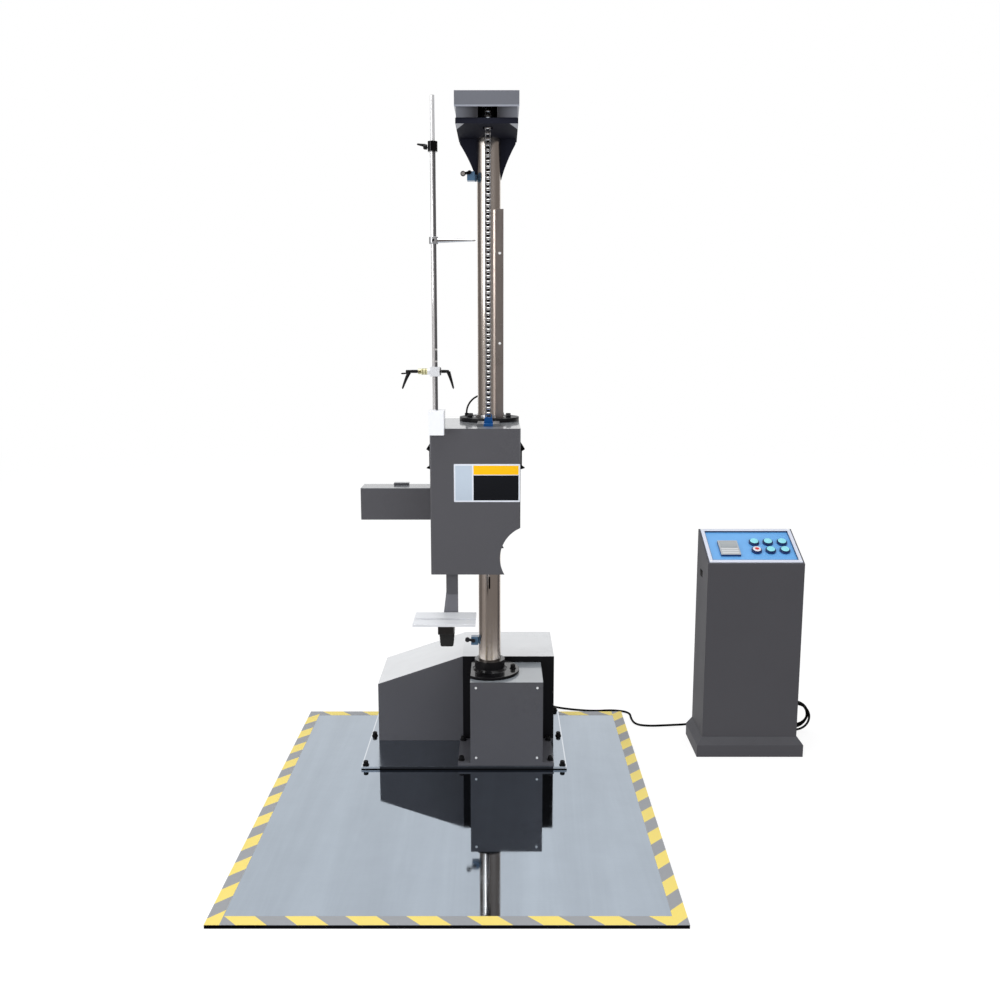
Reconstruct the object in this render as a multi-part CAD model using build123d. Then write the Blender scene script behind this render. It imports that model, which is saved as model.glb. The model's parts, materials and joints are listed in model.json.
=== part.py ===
from build123d import *
import os
from math import atan2, cos, degrees, hypot, pi, radians, sin, tan

# Free-standing single arm drop tester, in millimetres.
# +X is to the operator's right, +Y away from the operator, +Z up.
# The origin is the centre of the impact plate's underside, on the floor.

# Impact plate and its hazard tape
plate_width = 1200.0
plate_depth = 1400.0
plate_thickness = 10.0
tape_width = 38.0
tape_thickness = 0.3

# Mounting plate that carries the column and the motor
mount_left = -334.0
mount_right = 355.0
mount_front = 184.0
mount_back = 699.0
mount_thickness = 10.0
mount_bolt_inset = 14.0
mount_bolt_rows = (198.0, 443.0, 685.0)

# Fasteners
bolt_shank_radius = 5.0
bolt_head_radius = 8.0
bolt_head_height = 12.0
washer_radius = 11.0
washer_thickness = 2.5
screw_head_radius = 4.0
screw_head_height = 2.5
screw_shank_radius = 2.0
screw_length = 8.0
hole_clearance = 0.5
thread_clearance = 0.05

# Clearances
slide_clearance = 0.06
seat_clearance = 0.1
working_gap = 2.0

# Column
column_x = 96.0
column_y = 306.0
column_radius = 38.0
column_wall = 6.0
column_slot_low = 611.0
column_slot_high = 652.0
column_slot_width = 5.0

# Pedestal under the column
pedestal_left = 32.0
pedestal_right = 274.0
pedestal_front = 192.0
pedestal_back = 397.0
pedestal_top = 312.0
pedestal_wall = 5.0
flange_left = -10.0
flange_right = 312.0
flange_thickness = 10.0
flange_bolt_inset = 11.0
flange_bolt_rows = (215.0, 380.0)
pedestal_screw_inset = 19.0
pedestal_screw_rise = 18.0

# Collar casting at the column's foot
collar_radius = 100.0
collar_flange = 10.0
collar_hub_radius = 51.0
collar_hub_height = 46.0
collar_bolt_radius = 79.0
collar_bolt_angles = (0.0, 115.0, -115.0)

# Motor cabinet
cabinet_left = -300.0
cabinet_right = 321.0
cabinet_back = 690.0
cabinet_low = 231.0
cabinet_high = 333.0
cabinet_wall = 2.0
cabinet_step_x = 0.0
backing_thickness = 3.0
chain_window_width = 50.0
chain_window_height = 40.0

# Roller chain and sprockets
chain_pitch = 15.875
roller_radius = 5.08
link_inner_width = 9.65
link_plate = 1.7
link_height = 14.0
sprocket_teeth = 10
sprocket_tip_radius = 27.6
sprocket_thickness = 9.0
tooth_relief = 5.0
roller_seat_gap = 0.35
sprocket_hub_radius = 16.0
sprocket_hub_length = 22.0
sprocket_bore = 7.5
chain_x = 95.0
chain_front_y = 136.0
idler_rise = 33.0
base_idler_z = 180.0
drive_y = 520.0
slack_pitches = 6
guided_pitches = 3

# Gear motor in the cabinet
gearbox_gap = 32.0
gearbox_width = 96.0
gearbox_half = 52.0
bearing_length = 10.0
shaft_depth = 28.0
motor_length = 150.0
motor_radius = 58.0
fan_length = 34.0
motor_foot = 14.0
foot_margin = 8.0
terminal_rise = 26.0

# Head of the column
head_plate_z = 2051.0
head_plate_thickness = 16.0
head_left = 1.0
head_right = 184.0
head_front = 72.0
head_back = 356.0
head_slot_length = 36.0
head_slot_width = 28.0
gusset_drop = 124.0
gusset_edge = 14.0
gusset_inset = 4.0
gusset_thickness = 12.0
gusset_bow = 1.0
hood_left = -2.0
hood_right = 187.0
hood_front = 64.0
hood_back = 364.0
hood_rise = 30.0
hood_height = 44.0
hood_wall = 2.0
hood_skirt_inset = 5.0
hood_notch_width = 56.0
cheek_gap = 24.0
cheek_thickness = 6.0
cheek_height = 64.0
cheek_reach = 22.0

# Guide rail on the column
rail_left = 118.0
rail_right = 142.0
rail_front = 261.0
rail_back = 273.0
rail_low = 808.0
rail_drop = 216.0
rail_screw_low = 52.0
rail_screw_high = 135.0
rail_screw_count = 4
rail_boss_radius = 8.0
rail_boss_back = 290.0

# Limit switches
switch_depth = 24.0
switch_width = 24.0
switch_height = 28.0
switch_pivot_inset = 8.0
switch_pin_depth = 10.0
switch_plate = 4.0
upper_switch_right = 52.0
upper_switch_drop = 129.0
lower_switch_right = 57.0
lower_switch_z = 408.0
switch_arm_length = 20.0
switch_arm_thickness = 5.0
switch_roller_width = 7.0
switch_roller_radius = 8.0
switch_pin_radius = 2.5

# Carriage housing
housing_left = -80.0
housing_right = 193.0
housing_front = 15.0
housing_back = 397.0
housing_low = 722.0
housing_top = 1170.0
housing_wall = 3.0
notch_x = 233.5
notch_z = 773.0
notch_radius = 102.5
bushing_radius = 50.0
bushing_low = 752.0
trip_plate_left = 10.0
bushing_relief_x = 127.0
bushing_relief_rise = 18.0
disc_radius = 97.0
disc_thickness = 13.0
disc_bolt_circle = 72.0
disc_bolt_count = 6
disc_bolt_head = 8.0
disc_bolt_rise = 8.0
wiper_radius = 46.0
wiper_height = 7.0
handle_low = 1041.0
handle_high = 1125.0
handle_y = 70.0
handle_reach = 14.0
handle_width = 24.0
handle_bar = 5.0
low_barb_rise = 4.0
high_barb_drop = 22.0
barb_height = 6.0

# Blue chain anchor on the housing
anchor_width = 23.0
anchor_depth = 24.0
anchor_top = 1203.0
anchor_base_half = 34.0
anchor_base_front = 86.0
anchor_base_back = 190.0
anchor_base_thickness = 8.0

# Air hose arch beside the column
hose_radius = 3.0
hose_start = (20.0, 352.0)
hose_end = (138.0, 370.0)
hose_fitting_radius = 6.0
hose_fitting_height = 8.0

# Cross tube on the carriage's left
tube_left = -314.0
tube_front = 179.0
tube_back = 270.0
tube_low = 862.0
tube_high = 965.0
tube_wall = 4.0
tube_cap = 3.0
tube_box_inset = 100.0
tube_box_width = 50.0
tube_box_depth = 22.0
tube_box_rise = 8.0

# Drop arm
arm_x = -17.0
arm_y = 44.0
arm_width = 36.0
arm_depth = 24.0
arm_top = 900.0
arm_foot_z = 591.0
arm_foot_height = 26.0
arm_foot_left = -54.0
arm_foot_right = -6.0
arm_foot_front = -95.0
arm_flare_left = -44.0
arm_flare_z = 664.0
slat_left = -129.0
slat_right = 58.0
slat_front = -102.0
slat_back = 29.0
slat_slot_front = -53.0
slat_slot_back = -36.0
slat_thickness = 8.0
foot_y = -31.0
foot_bottom = 513.0
foot_top_half = 24.0
foot_bottom_half = 19.5
cylinder_radius = 22.0
cylinder_bore = 18.0
cylinder_low = 915.0
cylinder_high = 1150.0
cylinder_cap = 12.0
piston_rod_radius = 6.0
piston_height = 16.0
guide_low = 730.0
guide_high = 800.0
guide_wall = 9.0

# Mast for the holding finger
mast_x = -62.0
mast_y = 24.0
mast_radius = 8.0
mast_high = 1980.0
mast_rod_radius = 6.25
mast_rod_low = 1560.0
mast_rod_high = 2118.0
mast_socket_depth = 50.0
mast_block_left = -81.0
mast_block_right = -35.0
mast_block_front = -20.0
mast_block_back = 62.0
mast_block_low = 1153.0
mast_block_high = 1225.0
rod_collar_radius = 14.0
rod_collar_low = 1964.0
rod_collar_high = 1992.0
rod_lever_z = 1977.0
rod_lever_reach = 48.0
cross_clamp_z = 1339.0
cross_clamp_half = 14.0
cross_nut_radius = 9.5
cross_nut_length = 26.0
clamp_screw_radius = 4.0
lever_hub_radius = 8.0
lever_hub_length = 34.0
lever_drop = 52.0
lever_radius = 5.0
left_hub_x = -113.0
right_washer_x = -46.0
right_hub_x = -27.0
right_hub_length = 10.0
finger_z = 1717.0
finger_tip_x = 61.0
finger_root_radius = 7.8
finger_tip_radius = 2.2
finger_collar_radius = 13.0
finger_collar_height = 20.0

# Console
console_left = 835.0
console_right = 1163.0
console_front = 324.0
console_back = 507.0
console_front_height = 683.0
console_slope = 24.9
console_wall = 2.0
skirt_left = 814.0
skirt_right = 1183.0
skirt_front = 305.0
skirt_height = 43.0
skirt_slope_height = 67.0
rear_panel_margin = 24.0
rear_panel_thickness = 1.5
recess_y = 430.0
recess_z = 626.0
recess_width = 40.0
recess_height = 25.0
recess_depth = 1.2

# Control panel, in the slope's own directions
frame_margin = 6.0
frame_border = 12.0
frame_thickness = 4.0
panel_thickness = 2.0
display_left = -112.0
display_right = -44.0
display_low = 44.0
display_high = 124.0
display_proud = 9.0
display_depth = 30.0
button_columns = (15.5, 63.5, 112.5)
button_rows = (120.0, 74.0)
button_radius = 14.5
bezel_radius = 18.0
bezel_height = 7.0
button_proud = 12.0
button_stem_radius = 6.0
button_travel = 3.5
button_clearance = 0.4

# Control cable
cable_radius = 4.0
gland_radius = 9.0
gland_length = 16.0
cabinet_gland = (262.0, 72.0)
console_gland = (1080.0, 236.0)
coil_x = 1222.0
coil_y = 530.0
coil_major = 45.0
coil_minor = 10.0

# Worked out from the sizes above
mount_top = plate_thickness + mount_thickness
flange_top = mount_top + flange_thickness
collar_top = pedestal_top + collar_flange
pitch_radius = chain_pitch / (2 * sin(pi / sprocket_teeth))
front_idler_y = chain_front_y + pitch_radius
rear_idler_y = column_y - pitch_radius
base_idler_y = column_y + pitch_radius
base_run_z = base_idler_z - pitch_radius
drive_z = base_run_z - pitch_radius
column_high = head_plate_z + head_plate_thickness - working_gap
head_top = head_plate_z + head_plate_thickness
idler_z = head_top + idler_rise
hood_low = head_top + hood_rise
hood_top = hood_low + hood_height
gusset_low_z = head_plate_z - gusset_drop
upper_switch_z = head_plate_z - upper_switch_drop
rail_high = head_plate_z - rail_drop
rail_screw_step = (rail_high - rail_screw_high - rail_low - rail_screw_low) / (rail_screw_count - 1)
rail_screws = [rail_low + rail_screw_low + rail_screw_step * i for i in range(rail_screw_count)]
disc_top = housing_top + disc_thickness
rail_way_back = rail_boss_back + 2 * working_gap
slope = radians(console_slope)
console_depth = console_back - console_front
console_rise = console_depth * tan(slope)
slope_length = console_depth / cos(slope)
console_x = (console_left + console_right) / 2

nodes = {}


def block(x0, x1, y0, y1, z0, z1):
    """A box between two corners."""
    centre = Pos((x0 + x1) / 2, (y0 + y1) / 2, (z0 + z1) / 2)
    return centre * Box(x1 - x0, y1 - y0, z1 - z0)


def rod(start, end, radius):
    """A round bar from one point to another."""
    direction = Vector(*end) - Vector(*start)
    return Solid.make_cylinder(radius, direction.length, Plane(Vector(*start), z_dir=direction))


def taper(start, end, radius_start, radius_end):
    """A round bar whose radius changes evenly along it."""
    direction = Vector(*end) - Vector(*start)
    base = Plane(Vector(*start), z_dir=direction)
    return Solid.make_cone(radius_start, radius_end, direction.length, base)


def upright(x, y, z0, z1, radius):
    """A vertical round bar."""
    return rod((x, y, z0), (x, y, z1), radius)


def tube(x, y, z0, z1, outer, inner):
    """A vertical tube."""
    return upright(x, y, z0, z1, outer) - upright(x, y, z0, z1, inner)


def prism_along_x(points, x0, x1):
    """An outline of (y, z) points drawn out from x0 to x1."""
    side = Plane(origin=(x0, 0, 0), x_dir=(0, 1, 0), z_dir=(1, 0, 0))
    return extrude(side * make_face(Polyline(*points, close=True)), x1 - x0)


def prism_along_y(points, y0, y1):
    """An outline of (x, z) points drawn out from y0 to y1."""
    front = Plane(origin=(0, y0, 0), x_dir=(1, 0, 0), z_dir=(0, -1, 0))
    return extrude(front * make_face(Polyline(*points, close=True)), -(y1 - y0))


def save(name, *shapes):
    """Keep the solids of one named piece, to be written at the end."""
    nodes[name] = [solid for shape in shapes for solid in shape.solids()]


def cap_bolt(x, y, seat_z, depth):
    """A cap-head bolt with its washer, whose head is above seat_z and its shank below."""
    washer = upright(x, y, seat_z, seat_z + washer_thickness, washer_radius)
    head_z = seat_z + washer_thickness
    head = upright(x, y, head_z, head_z + bolt_head_height, bolt_head_radius)
    socket = Pos(x, y, head_z + bolt_head_height) * extrude(RegularPolygon(4.6, 6), -6)
    return washer + head - socket + upright(x, y, seat_z - depth, seat_z, bolt_shank_radius)


def bolt_hole(x, y, z0, z1, clearance):
    """The room for a bolt's shank."""
    return upright(x, y, z0, z1, bolt_shank_radius + clearance)


# Impact plate with its bolt holes
mount_bolts = [
    (x, y)
    for x in (mount_left + mount_bolt_inset, mount_right - mount_bolt_inset)
    for y in mount_bolt_rows
]
flange_bolts = [
    (x, y)
    for x in (flange_left + flange_bolt_inset, flange_right - flange_bolt_inset)
    for y in flange_bolt_rows
]
half_width = plate_width / 2
half_depth = plate_depth / 2
impact_plate = block(-half_width, half_width, -half_depth, half_depth, 0, plate_thickness)
for x, y in mount_bolts:
    impact_plate -= bolt_hole(x, y, 2, plate_thickness, thread_clearance)
save("impact_plate", impact_plate)

tape_top = plate_thickness + tape_thickness
inner_x = half_width - tape_width
inner_y = half_depth - tape_width
tape = block(-half_width, half_width, -half_depth, half_depth, plate_thickness, tape_top)
tape -= block(-inner_x, inner_x, -inner_y, inner_y, plate_thickness, tape_top)
tape -= block(
    mount_left - working_gap, mount_right + working_gap,
    inner_y - working_gap, half_depth, plate_thickness, tape_top,
)
save("edge_tape", tape)

# Mounting plate
mounting_plate = block(
    mount_left, mount_right, mount_front, mount_back, plate_thickness, mount_top
)
for x, y in mount_bolts:
    mounting_plate -= bolt_hole(x, y, plate_thickness, mount_top, hole_clearance)
for x, y in flange_bolts:
    mounting_plate -= bolt_hole(x, y, plate_thickness, mount_top, thread_clearance)
save("mounting_plate", mounting_plate)

# Pedestal: a bottomless box that stands on a flange plate
flange = block(
    flange_left, flange_right, pedestal_front, pedestal_back, mount_top, flange_top
)
pedestal = block(
    pedestal_left, pedestal_right, pedestal_front, pedestal_back, flange_top, pedestal_top
)
pedestal -= block(
    pedestal_left + pedestal_wall, pedestal_right - pedestal_wall,
    pedestal_front + pedestal_wall, pedestal_back - pedestal_wall,
    flange_top, pedestal_top - 2 * pedestal_wall,
)
pedestal -= upright(column_x, column_y, pedestal_top - 30, pedestal_top, column_radius - column_wall)
chain_window = block(
    chain_x - chain_window_width / 2, chain_x + chain_window_width / 2,
    pedestal_back - pedestal_wall, pedestal_back + 10,
    base_run_z - chain_window_height / 2, base_run_z + chain_window_height / 2,
)
pedestal -= chain_window
for x, y in flange_bolts:
    flange -= bolt_hole(x, y, mount_top, flange_top, hole_clearance)
collar_bolts = [
    (
        column_x + collar_bolt_radius * cos(radians(angle)),
        column_y + collar_bolt_radius * sin(radians(angle)),
    )
    for angle in collar_bolt_angles
]
for x, y in collar_bolts:
    pedestal -= bolt_hole(x, y, pedestal_top - 12, pedestal_top, thread_clearance)
pedestal_screws = [
    (x, pedestal_front, z)
    for x in (pedestal_left + pedestal_screw_inset, pedestal_right - pedestal_screw_inset)
    for z in (flange_top + pedestal_screw_rise, pedestal_top - pedestal_screw_inset)
]
for x, y, z in pedestal_screws:
    pedestal -= rod((x, y, z), (x, y + screw_length, z), screw_shank_radius + thread_clearance)
save("pedestal", flange, pedestal)

# Collar casting that holds the column's foot, cut flat on its left
collar = upright(column_x, column_y, pedestal_top, collar_top, collar_radius)
collar += taper(
    (column_x, column_y, collar_top), (column_x, column_y, collar_top + 8),
    collar_hub_radius + 8, collar_hub_radius,
)
collar += upright(
    column_x, column_y, collar_top + 8, pedestal_top + collar_hub_height, collar_hub_radius
)
collar -= upright(
    column_x, column_y, pedestal_top, pedestal_top + collar_hub_height,
    column_radius + slide_clearance,
)
collar -= block(
    column_x - collar_radius, pedestal_left, column_y - collar_radius, column_y + collar_radius,
    pedestal_top, collar_top,
)
collar -= block(
    column_x - collar_radius, column_x + collar_radius, pedestal_back, column_y + collar_radius,
    pedestal_top, collar_top,
)
for x, y in collar_bolts:
    collar -= bolt_hole(x, y, pedestal_top, collar_top, hole_clearance)
save("column_collar", collar)

bolts = [cap_bolt(x, y, mount_top, mount_thickness + 6) for x, y in mount_bolts]
bolts += [cap_bolt(x, y, flange_top, flange_thickness + 8) for x, y in flange_bolts]
bolts += [cap_bolt(x, y, collar_top, collar_flange + 7) for x, y in collar_bolts]
save("base_bolts", *bolts)

# Column tube
column = tube(
    column_x, column_y, pedestal_top, column_high, column_radius, column_radius - column_wall
)
column -= block(
    column_x - column_slot_width / 2, column_x + column_slot_width / 2,
    column_y - column_radius, column_y - column_radius + 2 * column_wall,
    column_slot_low, column_slot_high,
)
save("column", column)

# Guide rail, stood off the column on bosses that fit its curve
rail_x = (rail_left + rail_right) / 2
rail = block(rail_left, rail_right, rail_front, rail_back, rail_low, rail_high)
for z in rail_screws:
    rail += rod((rail_x, rail_back, z), (rail_x, rail_boss_back, z), rail_boss_radius)
rail -= upright(column_x, column_y, rail_low, rail_high, column_radius + seat_clearance)
for z in rail_screws:
    rail -= rod(
        (rail_x, rail_front, z), (rail_x, rail_front + screw_length, z),
        screw_shank_radius + thread_clearance,
    )
save("guide_rail", rail)

# Motor cabinet with a sloping left part and a flat right part
cabinet_front = pedestal_back + backing_thickness
cabinet_outline = [
    (cabinet_left, mount_top),
    (cabinet_right, mount_top),
    (cabinet_right, cabinet_high),
    (cabinet_step_x, cabinet_high),
    (cabinet_left, cabinet_low),
]
cabinet = prism_along_y(cabinet_outline, cabinet_front, cabinet_back)
w = cabinet_wall
fall = (cabinet_high - cabinet_low) / (cabinet_step_x - cabinet_left)
cabinet_inside = [
    (cabinet_left + w, mount_top),
    (cabinet_right - w, mount_top),
    (cabinet_right - w, cabinet_high - w),
    (cabinet_step_x, cabinet_high - w),
    (cabinet_left + w, cabinet_low - w + fall * w),
]
cabinet -= prism_along_y(cabinet_inside, cabinet_front + w, cabinet_back - w)
chain_hole = block(
    chain_x - chain_window_width / 2, chain_x + chain_window_width / 2,
    pedestal_back, cabinet_front + w,
    base_run_z - chain_window_height / 2, base_run_z + chain_window_height / 2,
)
cabinet -= chain_hole
gland_x, gland_z = cabinet_gland
cabinet -= rod(
    (gland_x, cabinet_back - w, gland_z), (gland_x, cabinet_back, gland_z), gland_radius - 3
)
save("motor_cabinet", cabinet)

# Black backing panel between the pedestal and the cabinet
backing = block(
    cabinet_step_x, cabinet_right, pedestal_back, cabinet_front, flange_top, cabinet_high
)
save("backing_panel", backing - chain_hole)

# Gear motor lying along X: foot, gearbox, motor barrel and fan cover
gearbox_right = chain_x - gearbox_gap
gearbox_left = gearbox_right - gearbox_width
motor_left = gearbox_left - motor_length
fan_left = motor_left - fan_length
gearbox = block(
    gearbox_left, gearbox_right, drive_y - gearbox_half, drive_y + gearbox_half,
    mount_top + motor_foot, drive_z + gearbox_half,
)
gearbox += block(
    gearbox_left - foot_margin, gearbox_right + foot_margin,
    drive_y - gearbox_half - 2 * foot_margin, drive_y + gearbox_half + 2 * foot_margin,
    mount_top, mount_top + motor_foot,
)
bearing_end = gearbox_right + bearing_length
gearbox += rod(
    (gearbox_right, drive_y, drive_z), (bearing_end, drive_y, drive_z), gearbox_half / 2
)
gearbox -= rod(
    (gearbox_right - shaft_depth - working_gap, drive_y, drive_z),
    (bearing_end, drive_y, drive_z),
    sprocket_bore + slide_clearance,
)
motor = rod(
    (motor_left, drive_y, drive_z), (gearbox_left, drive_y, drive_z), motor_radius
)
fan_cover = taper(
    (motor_left, drive_y, drive_z), (fan_left, drive_y, drive_z),
    motor_radius, motor_radius - foot_margin,
)
terminal_box = block(
    motor_left + fan_length, gearbox_left - fan_length,
    drive_y - fan_length, drive_y + fan_length,
    drive_z + motor_radius - foot_margin, drive_z + motor_radius + terminal_rise,
)
save("gear_motor", gearbox, motor + fan_cover + terminal_box)


def sprocket(y, z, shaft_from, shaft_to):
    """A toothed wheel about an axis along X, with a hub and, when asked, its own shaft."""
    wheel = Cylinder(sprocket_tip_radius, sprocket_thickness)
    step = 360 / sprocket_teeth
    seat_half = roller_radius + roller_seat_gap
    mouth = make_face(
        Polyline(
            (pitch_radius, -seat_half), (pitch_radius + 6, -seat_half - tooth_relief),
            (pitch_radius + 6, seat_half + tooth_relief), (pitch_radius, seat_half), close=True,
        )
    )
    seat = mouth + Pos(pitch_radius, 0) * Circle(seat_half)
    cutter = Pos(0, 0, -sprocket_thickness / 2) * extrude(seat, sprocket_thickness)
    for tooth in range(sprocket_teeth):
        wheel -= Rot(0, 0, 90 + tooth * step) * cutter
    wheel += Cylinder(sprocket_hub_radius, sprocket_hub_length)
    if shaft_from is None:
        wheel -= Cylinder(sprocket_bore + slide_clearance, sprocket_hub_length)
    wheel = Pos(chain_x, y, z) * Rot(0, 90, 0) * wheel
    if shaft_from is not None:
        wheel += rod((shaft_from, y, z), (shaft_to, y, z), sprocket_bore)
    return wheel


save("front_idler_sprocket", sprocket(front_idler_y, idler_z, None, None))
save("rear_idler_sprocket", sprocket(rear_idler_y, idler_z, None, None))
save("base_idler_sprocket", sprocket(base_idler_y, base_idler_z, None, None))
save(
    "drive_sprocket",
    sprocket(drive_y, drive_z, gearbox_right - shaft_depth, chain_x + cheek_gap / 2 + cheek_thickness),
)


def cheeks(y0, y1, z0, z1, shafts):
    """Two upright plates either side of the sprockets, with the shafts between them."""
    pieces = []
    for side in (-1, 1):
        near = chain_x + side * cheek_gap / 2
        far = near + side * cheek_thickness
        plate = block(min(near, far), max(near, far), y0, y1, z0, z1)
        for y, z in shafts:
            plate -= rod((near, y, z), (far, y, z), sprocket_bore + thread_clearance)
        pieces.append(plate)
    outer = cheek_gap / 2 + cheek_thickness
    for y, z in shafts:
        shaft = rod((chain_x - outer, y, z), (chain_x + outer, y, z), sprocket_bore)
        for side in (-1, 1):
            end = chain_x + side * outer
            shaft += rod((end, y, z), (end + side * 4, y, z), sprocket_bore + 3)
        pieces.append(shaft)
    return pieces


save(
    "base_idler_bracket",
    *cheeks(
        base_idler_y - cheek_reach, base_idler_y + cheek_reach, flange_top,
        base_idler_z + cheek_reach, [(base_idler_y, base_idler_z)],
    ),
)
save(
    "sprocket_frame",
    *cheeks(
        front_idler_y - cheek_reach, rear_idler_y + cheek_reach, head_top,
        head_top + cheek_height, [(front_idler_y, idler_z), (rear_idler_y, idler_z)],
    ),
)

# Head casting: cantilever plate, gussets down the column and a bore for its top
head = block(head_left, head_right, head_front, head_back, head_plate_z, head_top)
for side, edge in ((-1, head_left + gusset_inset), (1, head_right - gusset_inset)):
    root_x = column_x + side * column_radius
    middle = ((edge + root_x) / 2 - side * gusset_bow, (gusset_low_z + head_plate_z) / 2)
    edge_z = head_plate_z - gusset_edge
    curve = ThreePointArc((edge, edge_z), middle, (root_x, gusset_low_z))
    outline = curve + Polyline(
        (root_x, gusset_low_z), (column_x, gusset_low_z), (column_x, head_plate_z),
        (edge, head_plate_z), (edge, edge_z),
    )
    front = Plane(
        origin=(0, column_y - gusset_thickness / 2, 0), x_dir=(1, 0, 0), z_dir=(0, -1, 0)
    )
    head += extrude(front * make_face(outline), -gusset_thickness)
head -= upright(
    column_x, column_y, gusset_low_z, column_high, column_radius + slide_clearance
)
head -= upright(column_x, column_y, column_high, head_top, column_radius - column_wall)
head -= block(
    chain_x - head_slot_width / 2, chain_x + head_slot_width / 2,
    chain_front_y - head_slot_length / 2, chain_front_y + head_slot_length / 2,
    head_plate_z, head_top,
)
save("head_bracket", head)

# Hood over the sprockets: a folded box with a lip, and a skirt notched for the chain
hood = block(hood_left, hood_right, hood_front, hood_back, hood_low, hood_top)
hood -= block(
    hood_left + hood_wall, hood_right - hood_wall, hood_front + hood_wall,
    hood_back - hood_wall, hood_low, hood_top - hood_wall,
)
lip = hood_skirt_inset + hood_wall
hood += block(hood_left, hood_right, hood_front, hood_back, hood_low, hood_low + hood_wall) - block(
    hood_left + lip, hood_right - lip, hood_front + lip, hood_back - lip,
    hood_low, hood_low + hood_wall,
)
skirt_x0 = hood_left + hood_skirt_inset
skirt_x1 = hood_right - hood_skirt_inset
skirt_y0 = hood_front + hood_skirt_inset
skirt_y1 = hood_back - hood_skirt_inset
skirt = block(skirt_x0, skirt_x1, skirt_y0, skirt_y1, head_top, hood_low)
skirt -= block(
    skirt_x0 + hood_wall, skirt_x1 - hood_wall, skirt_y0 + hood_wall, skirt_y1 - hood_wall,
    head_top, hood_low,
)
skirt -= block(
    chain_x - hood_notch_width / 2, chain_x + hood_notch_width / 2,
    hood_front, skirt_y0 + hood_wall, head_top, hood_low,
)
save("top_hood", hood + skirt)


def link_plate_outline():
    """The outline of a chain link plate, with faceted ends."""
    half = link_height / 2
    end = half * tan(pi / 6)
    return make_face(
        Polyline(
            (-end, -half), (chain_pitch + end, -half), (chain_pitch + half, 0),
            (chain_pitch + end, half), (-end, half), (-half, 0), close=True,
        )
    )


link_outline = link_plate_outline()
inner_link = extrude(link_outline, link_plate)
roller = extrude(RegularPolygon(roller_radius, 8), link_inner_width)


def chain_links(pins, first_wide=0):
    """Rollers at each (y, z) pin but the last, and link plates, narrow and wide in turn."""
    pieces = []
    half = link_inner_width / 2
    for y, z in pins[:-1]:
        across = Plane(origin=(chain_x - half, y, z), x_dir=(0, 1, 0), z_dir=(1, 0, 0))
        pieces.append(across * roller)
    for index, ((y0, z0), (y1, z1)) in enumerate(zip(pins, pins[1:])):
        turn = degrees(atan2(z1 - z0, y1 - y0))
        offset = half + link_plate * ((index + first_wide) % 2)
        for x in (chain_x + offset, chain_x - offset - link_plate):
            side = Plane(origin=(x, y0, z0), x_dir=(0, 1, 0), z_dir=(1, 0, 0))
            pieces.append(side * Rot(0, 0, turn) * inner_link)
    return pieces


def wrap_pins(centre_y, centre_z, start_angle, end_angle):
    """Pins on a sprocket's pitch circle from one angle to another, tooth by tooth."""
    step = 360 / sprocket_teeth * (1 if end_angle > start_angle else -1)
    count = int(round((end_angle - start_angle) / step))
    return [
        (
            centre_y + pitch_radius * cos(radians(start_angle + step * i)),
            centre_z + pitch_radius * sin(radians(start_angle + step * i)),
        )
        for i in range(count + 1)
    ]


def straight_pins(start, end):
    """Pins spaced by the pitch, or a little under it, along a straight run."""
    length = hypot(end[0] - start[0], end[1] - start[1])
    count = max(1, int(round(length / chain_pitch)))
    return [
        (start[0] + (end[0] - start[0]) * i / count, start[1] + (end[1] - start[1]) * i / count)
        for i in range(count + 1)
    ]


# Front run of the chain, from the anchor up to the front idler
lift_pins = straight_pins((chain_front_y, anchor_top + 3), (chain_front_y, idler_z))
save("lift_chain", *chain_links(lift_pins))


def band_run(y0, z0, y1, z1):
    """A straight stretch of hidden chain, drawn as its outer shape."""
    length = hypot(y1 - y0, z1 - z0)
    width = link_inner_width + 4 * link_plate
    side = Plane(origin=(chain_x - width / 2, y0, z0), x_dir=(0, 1, 0), z_dir=(1, 0, 0))
    face = Pos(length / 2, 0) * Rectangle(length, link_height)
    return extrude(side * Rot(0, 0, degrees(atan2(z1 - z0, y1 - y0))) * face, width)


# Return run: over both idlers, down inside the column and on to the drive sprocket
over_front = wrap_pins(front_idler_y, idler_z, 180, 72)
over_rear = wrap_pins(rear_idler_y, idler_z, 108, 0)
guided = guided_pitches * chain_pitch
entering = straight_pins((column_y, idler_z), (column_y, idler_z - guided))
leaving = straight_pins((column_y, base_idler_z + guided), (column_y, base_idler_z))
crossing = straight_pins(over_front[-1], over_rear[0])
top_pins = over_front[:-1] + crossing + over_rear[1:] + entering[1:]
base_pins = wrap_pins(base_idler_y, base_idler_z, 180, 252)
drive_pins = wrap_pins(drive_y, drive_z, 108, 0)
run_pins = straight_pins(base_pins[-1], drive_pins[0])
slack_y = drive_y + pitch_radius
slack_pins = straight_pins((slack_y, drive_z), (slack_y, drive_z - slack_pitches * chain_pitch))
low_pins = leaving + base_pins[1:-1] + run_pins + drive_pins[1:] + slack_pins[1:]
half_link = link_height / 2 + seat_clearance
save(
    "return_chain",
    *chain_links(top_pins, len(lift_pins) - 1),
    band_run(
        column_y, idler_z - guided - half_link, column_y, base_idler_z + guided + half_link
    ),
    *chain_links(low_pins),
)


def switch_body(right, back, z, pivot_rise):
    """A limit switch body with the hole for its lever's pin, and where that pin is."""
    front = back - switch_depth
    x = right - switch_width + switch_pivot_inset
    body = block(right - switch_width, right, front, back, z, z + switch_height)
    body -= rod(
        (x, front, z + pivot_rise), (x, front + switch_pin_depth, z + pivot_rise),
        switch_pin_radius + slide_clearance,
    )
    return body, (x, front, z + pivot_rise)


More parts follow.
